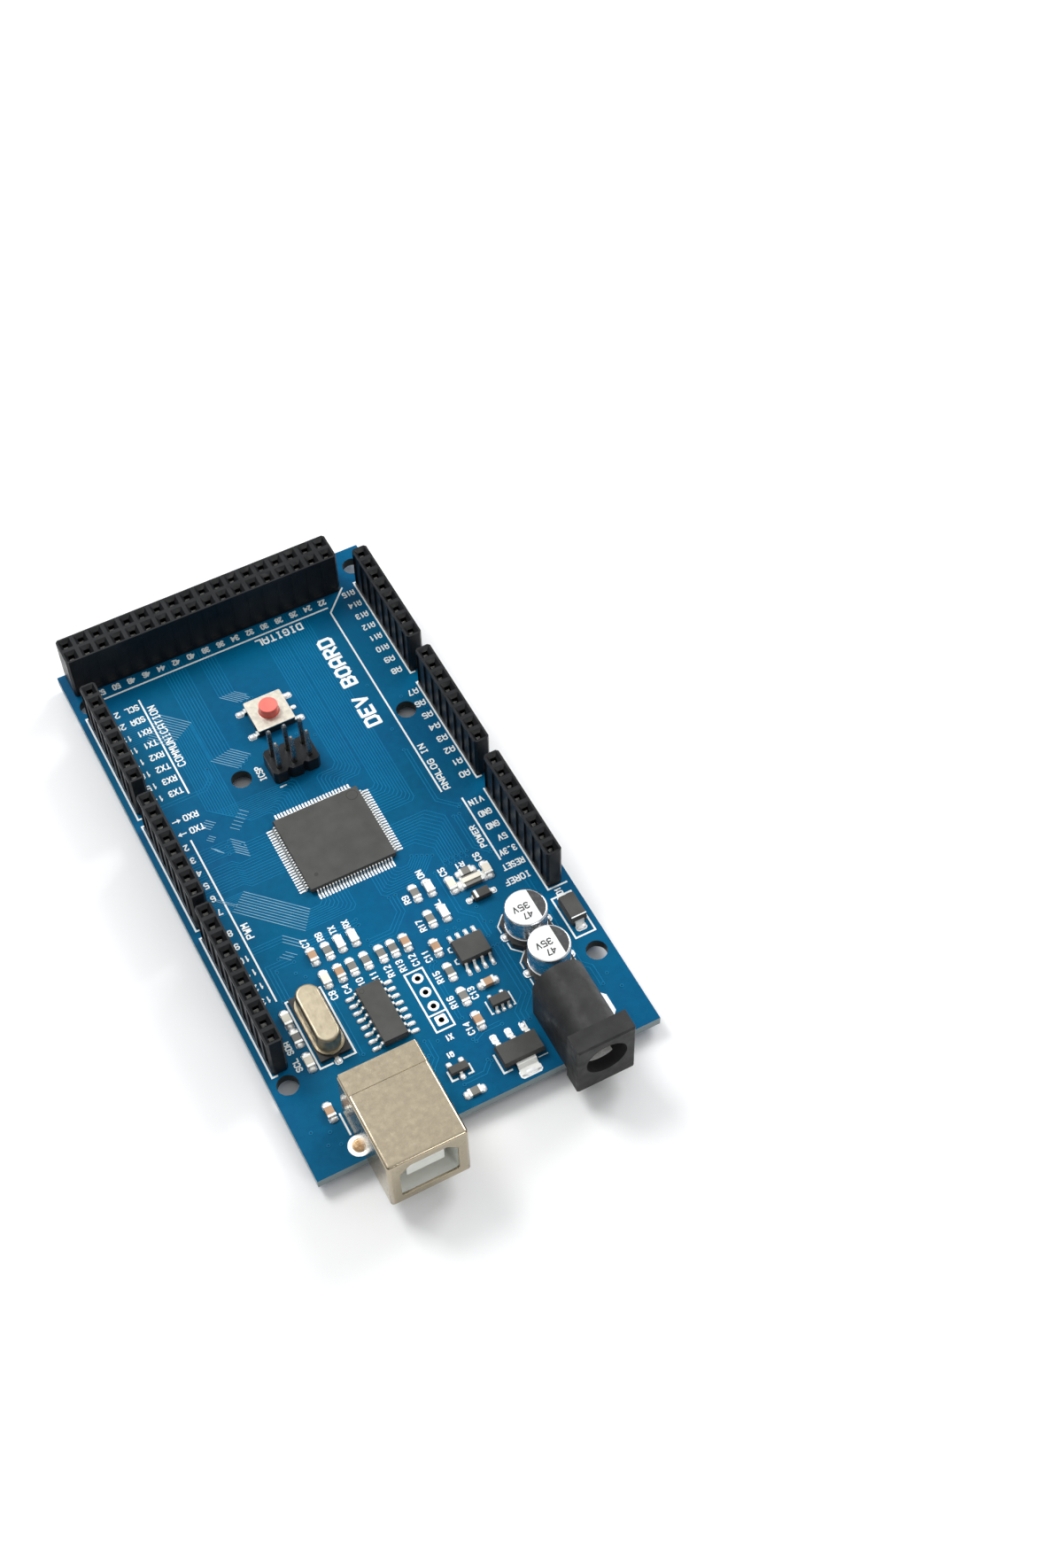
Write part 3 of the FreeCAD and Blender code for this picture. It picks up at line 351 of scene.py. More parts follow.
# Strokes of each letter on a grid 4 wide and 6 high: x and y of each point, a slash between strokes.
GLYPHS = {
    "0": "10 30 41 45 36 16 05 01 10", "1": "14 26 20", "2": "05 16 36 45 44 00 40",
    "3": "05 16 36 45 44 33 13/33 42 41 30 10 01", "4": "40 46 02 42", "5": "46 06 03 33 42 41 30 10 01",
    "6": "45 36 16 05 01 10 30 41 42 33 03", "7": "06 46 20", "8": "13 04 05 16 36 45 44 33 13 02 01 10 30 41 42 33",
    "9": "01 10 30 41 45 36 16 05 04 13 43", "A": "00 05 16 36 45 40/02 42", "B": "00 06 36 45 44 33 03/33 42 41 30 00",
    "C": "45 36 16 05 01 10 30 41", "D": "00 06 36 45 41 30 00", "E": "46 06 00 40/03 33", "F": "46 06 00/03 33",
    "G": "45 36 16 05 01 10 30 41 43 23", "I": "26 20/16 36/10 30", "L": "06 00 40", "M": "00 06 23 46 40",
    "N": "00 06 40 46", "O": "10 30 41 45 36 16 05 01 10", "P": "00 06 36 45 44 33 03", "Q": "10 30 41 45 36 16 05 01 10/22 40",
    "R": "00 06 36 45 44 33 03/23 40", "S": "45 36 16 05 04 13 33 42 41 30 10 01", "T": "06 46/26 20",
    "U": "06 01 10 30 41 46", "V": "06 20 46", "W": "06 10 24 30 46", "X": "00 46/06 40", "Y": "06 23 46/23 20",
    ".": "10 30",
}


class Detail:
    """Gathers closed shapes on the board's grid into one mesh."""

    def __init__(self):
        self.mesh = bmesh.new()
        self.laid = 0

    def lift(self):
        """A hair of height that differs from one strip to the next, so that none lie flush on each other."""
        self.laid += 1
        return 0.0008 * (self.laid % 23)

    def ring_of(self, outline, z):
        return [self.mesh.verts.new(at(u, v, z)) for u, v in outline]

    def stack(self, rings, cap_ends=True):
        """Join rings of equal length, lowest first, into a closed solid."""
        for lower, upper in zip(rings, rings[1:]):
            count = len(lower)
            for i in range(count):
                j = (i + 1) % count
                self.mesh.faces.new((lower[i], lower[j], upper[j], upper[i]))
        if cap_ends:
            self.mesh.faces.new(list(reversed(rings[0])))
            self.mesh.faces.new(rings[-1])

    def plate(self, outline, z0, z1):
        self.stack([self.ring_of(outline, z0), self.ring_of(outline, z1)])

    def block(self, u0, u1, v0, v1, z0, z1):
        self.plate([(u0, v0), (u1, v0), (u1, v1), (u0, v1)], z0, z1)

    def pad(self, u, v, width, length, z1=0.05, z0=0.0):
        """A rectangle with clipped corners, as a soldered land looks."""
        w, n = width / 2, length / 2
        z1 += self.lift()
        c = min(w, n) * 0.45
        self.plate([(u - w + c, v - n), (u + w - c, v - n), (u + w, v - n + c), (u + w, v + n - c),
                    (u + w - c, v + n), (u - w + c, v + n), (u - w, v + n - c), (u - w, v - n + c)], z0, z1)

    def disc(self, u, v, radius, z0, z1, sides=24):
        self.plate([(u + radius * math.cos(a), v + radius * math.sin(a)) for a in angles(sides)], z0, z1)

    def washer(self, u, v, inner, outer, z0, z1, sides=28, square=False):
        """A flat ring; square gives it a square outer edge."""
        rings = []
        for radius, z in ((inner, z0), (outer, z0), (outer, z1), (inner, z1)):
            points = []
            for a in angles(sides):
                reach = radius
                if square and radius == outer:
                    reach = radius / max(abs(math.cos(a)), abs(math.sin(a)))
                points.append((u + reach * math.cos(a), v + reach * math.sin(a)))
            rings.append(self.ring_of(points, z))
        self.stack(rings + rings[:1], cap_ends=False)

    def mound(self, u, v, across, along, height, z0=0.0, sides=16, steps=4):
        """A blob of solder: half an ellipsoid that sits on the board."""
        rings = []
        for i in range(steps):
            lift = i / steps * math.pi / 2
            shrink = math.cos(lift)
            outline = [(u + across * shrink * squarish(math.cos(a)), v + along * shrink * squarish(math.sin(a)))
                       for a in angles(sides)]
            rings.append(self.ring_of(outline, z0 + height * math.sin(lift)))
        self.stack(rings)

    def ribbon(self, points, width, z0, z1, slope=0.0):
        """A strip along an open line; slope makes its top narrower than its foot."""
        foot = corner_offsets(points, -width / 2) + corner_offsets(points, width / 2)[::-1]
        z1 += self.lift()
        top_width = width - 2 * slope
        top = corner_offsets(points, -top_width / 2) + corner_offsets(points, top_width / 2)[::-1]
        lower, upper = self.ring_of(foot, z0), self.ring_of(top, z1)
        count, half = len(foot), len(points)
        for i in range(count):
            j = (i + 1) % count
            self.mesh.faces.new((lower[i], lower[j], upper[j], upper[i]))
        for i in range(half - 1):
            j = count - 1 - i
            self.mesh.faces.new((upper[i], upper[i + 1], upper[j - 1], upper[j]))
            self.mesh.faces.new((lower[i + 1], lower[i], lower[j], lower[j - 1]))

    def lettering(self, text, u, v, height, length, turn=0, z0=0.0, z1=INK, weight=0.2):
        """Single-stroke capitals, as plotted on boards, fitted to a height and a length about a place."""
        across = (length - weight) / (6 * len(text) - 2)
        up = (height - weight) / 6
        for i, letter in enumerate(text):
            for stroke in GLYPHS.get(letter, "").split("/") if letter != " " else ():
                points = [(u - (length - weight) / 2 + across * (6 * i + int(x)), v + up * (int(y) - 3))
                          for x, y in stroke.split()]
                for piece in zip(points, points[1:]):
                    self.ribbon(turned(squared(piece, weight * 0.32), (u, v), turn), weight, z0, z1)

    def done(self, name, finish, slot, body="board", smooth=False, rounding=0.0):
        bmesh.ops.recalc_face_normals(self.mesh, faces=self.mesh.faces[:])
        mesh = bpy.data.meshes.new(name)
        self.mesh.to_mesh(mesh)
        self.mesh.free()
        if smooth:
            mesh.shade_smooth()
        thing = bpy.data.objects.new(name, mesh)
        bpy.context.scene.collection.objects.link(thing)
        mesh.materials.append(MATERIALS[finish])
        if rounding:
            round_edges(thing, rounding)
        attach(thing, body)
        return thing


def squarish(part):
    """Pushes a circle's sine or cosine outwards, towards a rounded square."""
    return math.copysign(abs(part) ** 0.62, part)


def angles(sides):
    return [2 * math.pi * i / sides for i in range(sides)]


# ------------------------------------------------------------ copper tracks
TRACK_WIDTH = 0.2
TRACK_SLOPE = 0.04
MCU = (25.5, 49.1)
MCU_PADS_REACH = 8.3
LEAD_PITCH = 0.5


def mcu_pin(side, index):
    """End of one microcontroller land: side is left, right, near or far; index counts from low to high."""
    along = (index - 12) * LEAD_PITCH
    places = {"left": (MCU[0] - MCU_PADS_REACH, MCU[1] + along), "right": (MCU[0] + MCU_PADS_REACH, MCU[1] + along),
              "near": (MCU[0] + along, MCU[1] - MCU_PADS_REACH), "far": (MCU[0] + along, MCU[1] + MCU_PADS_REACH)}
    return places[side]


def pwm_tracks():
    """From the digital header, down a diagonal and along to the near side of the microcontroller."""
    lines = []
    for k in range(9):
        pin_u, pin_v = mcu_pin("near", k)
        run_v = 39.9 - 0.38 * k
        start_v = 47.3 - 0.30 * k
        drop = start_v - run_v
        knee_u = 9.9 - 0.35 * k
        lines.append([(5.0, start_v), (knee_u, start_v), (knee_u + drop, run_v), (pin_u - 0.6, run_v),
                      (pin_u, run_v + 0.6), (pin_u, pin_v)])
    return lines


def near_right_tracks():
    """From the near side of the microcontroller round to its right."""
    lines = []
    for k in range(9):
        pin_u, pin_v = mcu_pin("near", 24 - k)
        run_v = 40.0 - 0.42 * k
        end_u = 34.4 + 0.35 * k
        rise = 1.2 + 0.25 * k
        lines.append([(pin_u, pin_v), (pin_u, run_v + 0.5), (pin_u + 0.5, run_v), (end_u - rise, run_v),
                      (end_u, run_v + rise)])
    return lines


def right_low_tracks():
    """From the right side, down a diagonal and along the board towards the power parts."""
    lines = []
    for k in range(10):
        pin_u, pin_v = mcu_pin("right", k)
        down_u = 38.0 + 0.45 * k
        fall = 2.2
        knee_u = down_u - fall
        lines.append([(pin_u, pin_v), (knee_u, pin_v), (down_u, pin_v - fall), (down_u, 37.2 + 0.9 * (k % 2))])
    return lines


def right_high_tracks():
    """From the right side up along the board to the double header."""
    lines = []
    for k in range(11):
        pin_u, pin_v = mcu_pin("right", 24 - k)
        up_u = 35.3 + 0.42 * k
        lines.append([(pin_u, pin_v), (up_u - 0.6, pin_v), (up_u, pin_v + 0.6), (up_u, 92.5)])
    return lines


def far_right_tracks():
    """From the far side of the microcontroller, past the switch, to the double header."""
    lines = []
    for k in range(8):
        pin_u, pin_v = mcu_pin("far", 24 - k)
        run_v = 58.4 + 0.42 * k
        up_u = 34.6 - 0.42 * k
        lines.append([(pin_u, pin_v), (pin_u, run_v - 0.5), (pin_u + 0.5, run_v), (up_u - 0.8, run_v),
                      (up_u, run_v + 0.8), (up_u, 92.5)])
    return lines


def far_left_tracks():
    """From the far side round to the communication header, with a long diagonal at the end."""
    lines = []
    for k in range(12):
        pin_u, pin_v = mcu_pin("far", k)
        run_v = 58.4 + 0.36 * k
        up_u = 15.2 - 0.4 * k
        turn_v = 79.6 - 0.25 * k
        slant = 4.2 - 0.12 * k
        lines.append([(pin_u, pin_v), (pin_u, run_v - 0.5), (pin_u - 0.5, run_v), (up_u + 0.8, run_v),
                      (up_u, run_v + 0.8), (up_u, turn_v), (up_u - slant, turn_v + slant), (4.6, turn_v + slant)])
    return lines


def left_tracks():
    """From the left side straight out, up a short diagonal and on to the digital header."""
    lines = []
    for k in range(16):
        pin_u, pin_v = mcu_pin("left", 24 - k)
        knee_u = 13.6 - 0.05 * k if k < 6 else 11.4
        climb = 1.7 if k < 6 else 0.9
        lines.append([(pin_u, pin_v), (knee_u, pin_v), (knee_u - climb, pin_v + climb), (4.6, pin_v + climb)])
    return lines


def far_field_tracks():
    """Straight runs from the double header down to the switch and the programming pins."""
    lines = []
    for k in range(8):
        u = 15.0 + 0.5 * k
        turn_v = 71.4 + 0.1 * k
        slant = 3.4 - 0.14 * k
        lines.append([(u, 92.5), (u, turn_v), (u + slant, turn_v - slant)])
    for k in range(6):
        u = 21.0 + 0.5 * k
        slant = 2.4 if k < 5 else 1.5
        lines.append([(u, 92.5), (u, 82.0), (u + slant, 82.0 - slant)])
    return lines


def short_tracks():
    """Local wiring among the parts at the near end."""
    lines = bundle([(6.8, 37.2), (11.6, 37.2), (14.2, 34.6), (22.4, 34.6)], 3, 0.5)
    lines += bundle([(7.9, 27.5), (7.9, 33.4), (11.5, 33.4)], 3, 0.55)
    lines += bundle([(22.4, 30.6), (26.2, 30.6), (28.8, 33.2), (28.8, 36.2)], 3, 0.55)
    lines += bundle([(36.4, 36.8), (36.4, 29.2), (38.4, 27.2), (38.4, 23.5)], 2, 0.6)
    lines += bundle([(45.4, 36.6), (43.6, 38.4), (43.6, 44.6)], 3, 0.5)
    lines += bundle([(38.6, 21.6), (38.6, 12.5), (36.4, 10.3), (36.4, 8.6)], 3, 0.7)
    lines += bundle([(28.6, 9.2), (30.2, 10.0), (33.2, 10.0)], 2, 0.6)
    lines += bundle([(22.6, 12.4), (22.6, 9.2), (21.2, 7.8)], 2, 0.6)
    lines += bundle([(13.6, 14.6), (13.6, 24.6), (14.8, 25.8)], 2, 0.5)
    lines += bundle([(28.4, 13.2), (28.4, 22.6), (29.2, 23.4)], 2, 0.5)
    lines += bundle([(42.2, 59.2), (42.2, 48.5), (44.8, 45.9)], 2, 0.5)
    lines += bundle([(4.6, 66.9), (12.2, 66.9), (13.6, 68.3), (13.6, 70.2)], 2, 0.55)
    lines += bundle([(24.2, 4.0), (27.6, 4.0), (29.0, 5.4)], 2, 0.6)
    lines += bundle([(48.8, 8.5), (48.8, 12.0), (47.6, 13.2), (47.6, 30)], 2, 0.6)
    return lines


def under_tracks():
    """Wiring on the underside."""
    lines = bundle([(8, 24), (8, 60), (14, 66), (14, 90)], 8, 0.55)
    lines += bundle([(44, 26), (44, 60), (38, 66), (38, 90)], 8, 0.55)
    lines += bundle([(12, 30), (24, 30), (30, 36), (40, 36)], 6, 0.6)
    lines += bundle([(16, 84), (26, 74), (26, 46)], 6, 0.55)
    lines += bundle([(20, 14), (34, 14), (38, 18), (38, 24)], 3, 0.9)
    return lines


def stray_glints():
    """Short diagonal runs among the wiring left of the microcontroller, in small groups, each with a painted highlight
    strip on top.
    """
    groups = [((12.7, 58.7), (0.5, 0.47), 6, 1.1), ((8.8, 60.9), (0.38, 0.25), 4, 1.2),
              ((8.7, 58.3), (0.3, 0.25), 3, 0.8), ((8.7, 56.6), (0.2, -0.3), 4, 0.8),
              ((10.0, 34.6), (0.55, 0.2), 3, 1.3), ((5.4, 47.9), (0.5, -0.1), 2, 2.3)]
    lines = []
    for (u, v), (du, dv), count, length in groups:
        for i in range(count):
            lines.append([(u + i * du, v + i * dv), (u + i * du + length, v + i * dv - length)])
    return lines


def is_glinting(start, end):
    """Runs that fall from the digital side towards the USB end, which get a painted highlight standing in for the
    window's reflection.
    """
    across, along = end[0] - start[0], end[1] - start[1]
    return abs(abs(across) - abs(along)) < 0.05 and across * along < 0 and abs(across) > 1.2


def lay_tracks():
    lines = (pwm_tracks() + near_right_tracks() + right_low_tracks() + right_high_tracks() + far_right_tracks()
             + far_left_tracks() + left_tracks() + far_field_tracks() + short_tracks())
    tracks, painted_glint_strips, vias, via_shade_discs = Detail(), Detail(), Detail(), Detail()
    places = []
    for line in lines:
        tracks.ribbon(line, TRACK_WIDTH, -0.02, COPPER, TRACK_SLOPE)
        for start, end in zip(line, line[1:]):
            # Diagonal runs on the left get a pale strip on top, a painted highlight.
            if is_glinting(start, end) and start[0] < 26:
                painted_glint_strips.ribbon([start, end], TRACK_WIDTH * 0.62, COPPER - 0.01, COPPER + 0.016)
        for u, v in (line[0], line[-1]):
            crowded = any(abs(u - x) + abs(v - y) < 0.7 for x, y in places)
            if clear_of_parts(u, v) and not crowded:
                places.append((u, v))
    for line in stray_glints():
        tracks.ribbon(line, TRACK_WIDTH, -0.02, COPPER + 0.014, TRACK_SLOPE)
        # Painted highlight strip on each stray run.
        painted_glint_strips.ribbon(line, TRACK_WIDTH * 0.62, COPPER, COPPER + 0.03)
    for u, v in places + loose_vias():
        rise = COPPER + 0.016 + vias.lift()
        vias.disc(u, v, 0.29, -0.02, rise, 14)
        # A dark disc on each via ring, painted shade in place of the hole.
        via_shade_discs.disc(u, v, 0.15, -0.02, rise + 0.004, 12)
    tracks.done("copper_tracks", "track", "blue_board")
    painted_glint_strips.done("copper_track_painted_highlights", "glint", "blue_board")
    vias.done("via_rings", "track", "blue_board", smooth=False)
    via_shade_discs.done("via_painted_shade_dots", "via", "blue_board")
    under = Detail()
    for line in under_tracks():
        under.ribbon(line, 0.3, -BOARD_THICKNESS - COPPER, -BOARD_THICKNESS + 0.02)
    under.done("underside_tracks", "track", "blue_board")


def clear_of_parts(u, v):
    """True where a track's end shows on open board instead of under a header or at a lead."""
    beside_mcu = abs(u - MCU[0]) < MCU_PADS_REACH + 0.2 and abs(v - MCU[1]) < MCU_PADS_REACH + 0.2
    return 6.9 < u < 47 and v < 91 and not beside_mcu


def loose_vias():
    """Stitching vias scattered over the open parts of the board."""
    chance = random.Random(7)
    fields = [((2, 7), (3, 11)), ((21, 28), (9.5, 12)), ((37, 40), (24, 29)), ((10, 15), (54, 57)),
              ((41, 43), (62, 88)), ((24, 33), (62, 71)), ((8, 12), (29, 36)), ((46, 49), (62, 72)),
              ((33, 36), (25, 28)), ((47, 52), (6, 10))]
    places = []
    for (u0, u1), (v0, v1) in fields:
        for _ in range(4):
            places.append((chance.uniform(u0, u1), chance.uniform(v0, v1)))
    return places


# ----------------------------------------------------------- printed marks
def polyline(ink, points, width=LINE):
    ink.ribbon(points, width, 0.0, INK)


def frame_lines(ink, u0, u1, v0, v1, width=LINE):
    """A printed rectangle."""
    polyline(ink, [(u0 - width / 2, v0), (u1 + width / 2, v0)], width)
    polyline(ink, [(u0 - width / 2, v1), (u1 + width / 2, v1)], width)
    polyline(ink, [(u0, v0), (u0, v1)], width)
    polyline(ink, [(u1, v0), (u1, v1)], width)


def print_header_lines(ink):
    for v0, v1 in ((17.25, 42.9), (44.3, 65.1), (66.5, 87.9)):
        polyline(ink, [(1.95, v0), (1.05, v0), (1.05, v1), (1.95, v1)])
    for v0, v1 in ((72.1, 93.1), (49.3, 70.0)):
        polyline(ink, [(50.3, v0), (49.45, v0), (49.45, v1), (50.3, v1)])
    polyline(ink, [(49.45, 47.0), (49.45, 26.3), (52.6, 26.3)])
    polyline(ink, [(6.6, 28.1), (6.6, 59.4)])
    polyline(ink, [(9.7, 67.4), (9.7, 87.6)])
    polyline(ink, [(5.0, 90.35), (43.6, 90.35)])
    polyline(ink, [(47.4, 93.1), (43.55, 89.2), (43.55, 49.4)])
    polyline(ink, [(45.75, 34.3), (45.75, 47.0)])
    polyline(ink, [(7.0, 4.2), (7.0, 7.9)])


def print_header_labels(ink):
    first_row = 18.796
    for i, number in enumerate(range(13, 7, -1)):
        ink.lettering(str(number), 5.25, first_row + PITCH * (i + 4), 1.15, 1.7 if number > 9 else 0.75, HALF)
    for i, number in enumerate(range(7, 1, -1)):
        ink.lettering(str(number), 5.45, 45.72 + PITCH * i, 1.15, 0.75, HALF)
    for name, arrow, number, v in (("TX0", ">", "1", 60.96), ("RX0", "<", "0", 63.5)):
        ink.lettering(name, 8.3, v, 1.2, 2.4, HALF)
        ink.lettering(number, 4.6, v, 1.15, 0.5, HALF)
        polyline(ink, [(5.3, v), (6.6, v)], 0.2)
        tip = 5.2 if arrow == ">" else 6.7
        back = 0.55 if arrow == ">" else -0.55
        ink.plate([(tip, v), (tip + back, v - 0.42), (tip + back, v + 0.42)], 0.0, INK)
    names = ("TX3", "RX3", "TX2", "RX2", "TX1", "RX1", "SDA", "SCL")
    for i, name in enumerate(names):
        v = 68.58 + PITCH * i
        ink.lettering(name, 8.05, v, 1.2, 2.3, HALF)
        ink.lettering(str(14 + i), 5.1, v, 1.2, 1.8, HALF)
    for i in range(16):
        ink.lettering(str(52 - 2 * i), 2.54 * (i + 2), 91.75, 1.15, 1.3, HALF, weight=0.24)
    for i in range(8):
        ink.lettering("A" + str(8 + i), 47.75, 73.66 + PITCH * i, 1.15, 2.1 if i > 1 else 1.7, HALF)
        ink.lettering("A" + str(i), 48.15, 50.8 + PITCH * i, 1.15, 1.7, HALF)
    power = (("IOREF", 4.2, 46.45), ("RESET", 3.6, 47.1), ("3.3V", 2.8, 47.5), ("5V", 1.5, 47.9),
             ("GND", 2.1, 47.6), ("GND", 2.1, 47.6), ("VIN", 2.4, 47.4))
    for i, (name, length, u) in enumerate(power):
        ink.lettering(name, u, 30.25 + PITCH * i, 1.15, length, HALF)
    ink.lettering("SCL SDA", 4.95, 18.9, 1.0, 5.2, QUARTER)


def print_titles(ink):
    ink.lettering("DEV BOARD", 40.15, 75.2, 2.65, 19.4, QUARTER, weight=0.54)
    ink.lettering("DIGITAL", 34.4, 89.0, 1.5, 8.1, HALF, weight=0.28)
    ink.lettering("COMMUNICATION", 10.85, 79.1, 1.3, 13.0, QUARTER)
    ink.lettering("PWM", 7.65, 40.8, 1.2, 2.8, QUARTER)
    ink.lettering("POWER", 44.7, 39.6, 1.05, 4.3, QUARTER)
    ink.lettering("ANALOG IN", 44.6, 54.2, 1.15, 9.5, QUARTER)
    ink.lettering("ICSP", 20.75, 65.6, 1.1, 2.9, QUARTER)
    ink.lettering("1", 22.9, 61.85, 1.2, 0.5, QUARTER)


PART_LABELS = (
    ("C7", 14.1, 34.95, 1.5), ("R8", 16.45, 34.95, 1.5), ("TX", 18.6, 35.1, 1.4), ("RX", 20.75, 35.1, 1.4),
    ("C8", 14.15, 25.2, 1.5), ("C4", 16.3, 25.2, 1.5), ("R10", 18.5, 25.0, 2.1), ("R11", 20.65, 25.0, 2.1),
    ("R12", 22.9, 24.95, 2.1), ("R13", 24.8, 24.95, 2.1), ("C12", 26.85, 24.95, 2.1), ("C11", 28.75, 24.6, 2.1),
    ("R15", 28.65, 20.7, 2.1), ("R16", 28.55, 16.1, 2.1), ("C13", 31.85, 16.1, 2.1), ("C14", 28.75, 11.2, 2.1),
    ("R9", 30.35, 34.6, 1.5), ("ON", 34.05, 37.65, 1.5), ("R17", 30.3, 29.6, 2.1), ("L", 34.1, 32.15, 0.8),
    ("C5", 37.15, 36.45, 1.5), ("C6", 42.9, 36.45, 1.5), ("D1", 50.7, 25.4, 1.3),
)


def print_part_marks(ink):
    for name, u, v, length in PART_LABELS:
        ink.lettering(name, u, v, 1.1, length, QUARTER)
    ink.lettering("X1", 25.65, 11.3, 1.05, 1.2, HALF)
    ink.lettering("Q1", 24.5, 8.75, 0.95, 1.15, HALF)
    ink.lettering("R1", 39.9, 36.35, 1.0, 1.6, HALF)
    frame_lines(ink, 24.45, 27.3, 12.8, 23.3)
    polyline(ink, [(24.45, 15.55), (27.3, 15.55)])
    frame_lines(ink, 49.1, 52.3, 17.1, 24.6)
    polyline(ink, [(9.6, 27.3), (7.6, 27.3), (7.6, 15.35), (9.6, 15.35)])
    polyline(ink, [(11.1, 27.3), (13.05, 27.3), (13.05, 15.35), (11.1, 15.35)])
    polyline(ink, [(31.2, 2.6), (29.85, 2.6), (29.85, 5.9)])
    polyline(ink, [(35.2, 2.6), (36.75, 2.6)], 0.15)
    polyline(ink, [(23.9, 4.9), (22.95, 4.9), (22.95, 6.6)])
    polyline(ink, [(25.4, 4.9), (26.2, 4.9), (26.2, 6.4)])
    polyline(ink, [(33.0, 11.7), (32.7, 11.7), (32.7, 14.0)], 0.22)
    polyline(ink, [(36.1, 11.7), (36.4, 11.7), (36.4, 14.0)], 0.22)
    for v in (21.7, 23.9):
        polyline(ink, [(32.35, v - 0.45), (31.95, v - 0.3), (31.95, v + 0.3), (32.35, v + 0.45)], 0.22)
    for u, v in ((43.7, 15.2), (43.6, 22.05)):
        h, c = 3.6, 1.5
        polyline(ink, [(u - h, v + 0.9), (u - h, v + h - c), (u - h + c, v + h), (u + h, v + h), (u + h, v + 0.9)], 0.2)
        polyline(ink, [(u - h, v - 0.9), (u - h, v - h + c), (u - h + c, v - h), (u + h, v - h), (u + h, v - 0.9)], 0.2)


def print_board():
    ink = Detail()
    print_header_lines(ink)
    print_header_labels(ink)
    print_titles(ink)
    print_part_marks(ink)
    ink.done("silkscreen", "ink", "blue_board")


# --------------------------------------------------------- lands and solder
CHIP_HALF = 1.0
CHIPS = {
    "resistor": [(6.65, 21.3, 0), (16.5, 32.2, 0), (18.5, 28.1, 0), (20.7, 28.1, 0), (23.1, 28.1, 0), (25.0, 28.1, 0),
                 (31.95, 35.0, 0), (31.95, 30.0, 0), (30.5, 20.7, 0), (30.4, 16.2, 0), (40.2, 34.85, 1), (25.0, 2.0, 1)],
    "ceramic": [(6.6, 24.6, 0), (6.6, 17.0, 0), (14.2, 32.3, 0), (14.25, 28.0, 0), (16.5, 28.0, 0), (27.0, 28.1, 0),
                (37.3, 33.7, 0), (43.1, 33.7, 0), (30.5, 25.2, 0), (30.45, 11.7, 0), (34.5, 16.5, 1), (5.9, 8.6, 0)],
    "led": [(18.6, 32.5, 0), (20.75, 32.5, 0), (34.2, 34.9, 0), (34.2, 30.0, 0)],
}
PALE_CAPACITORS = [(6.6, 24.6), (6.6, 17.0), (14.25, 28.0), (37.3, 33.7), (43.1, 33.7)]


def solder_chip(lands, solder, u, v, quarter_turns, height, half=CHIP_HALF, width=1.3):
    """Two lands with a fillet of solder rising to each end cap."""
    for sign in (-1, 1):
        (land_u, land_v), = turned([(u, v + sign * (half + 0.1))], (u, v), quarter_turns)
        wide, deep = (1.2, width) if quarter_turns else (width, 1.2)
        lands.pad(land_u, land_v, wide, deep)
        across, along = (0.64, width * 0.5) if quarter_turns else (width * 0.5, 0.64)
        solder.mound(land_u, land_v, across, along, height)


def solder_row(lands, solder, places, land, mound):
    """Lands and toe fillets for a row of leads; land and mound are sizes across and along."""
    for u, v in places:
        lands.pad(u, v, *land)
        solder.mound(u, v, *mound)


def steps(centre, count, pitch):
    return [centre + (i - (count - 1) / 2) * pitch for i in range(count)]


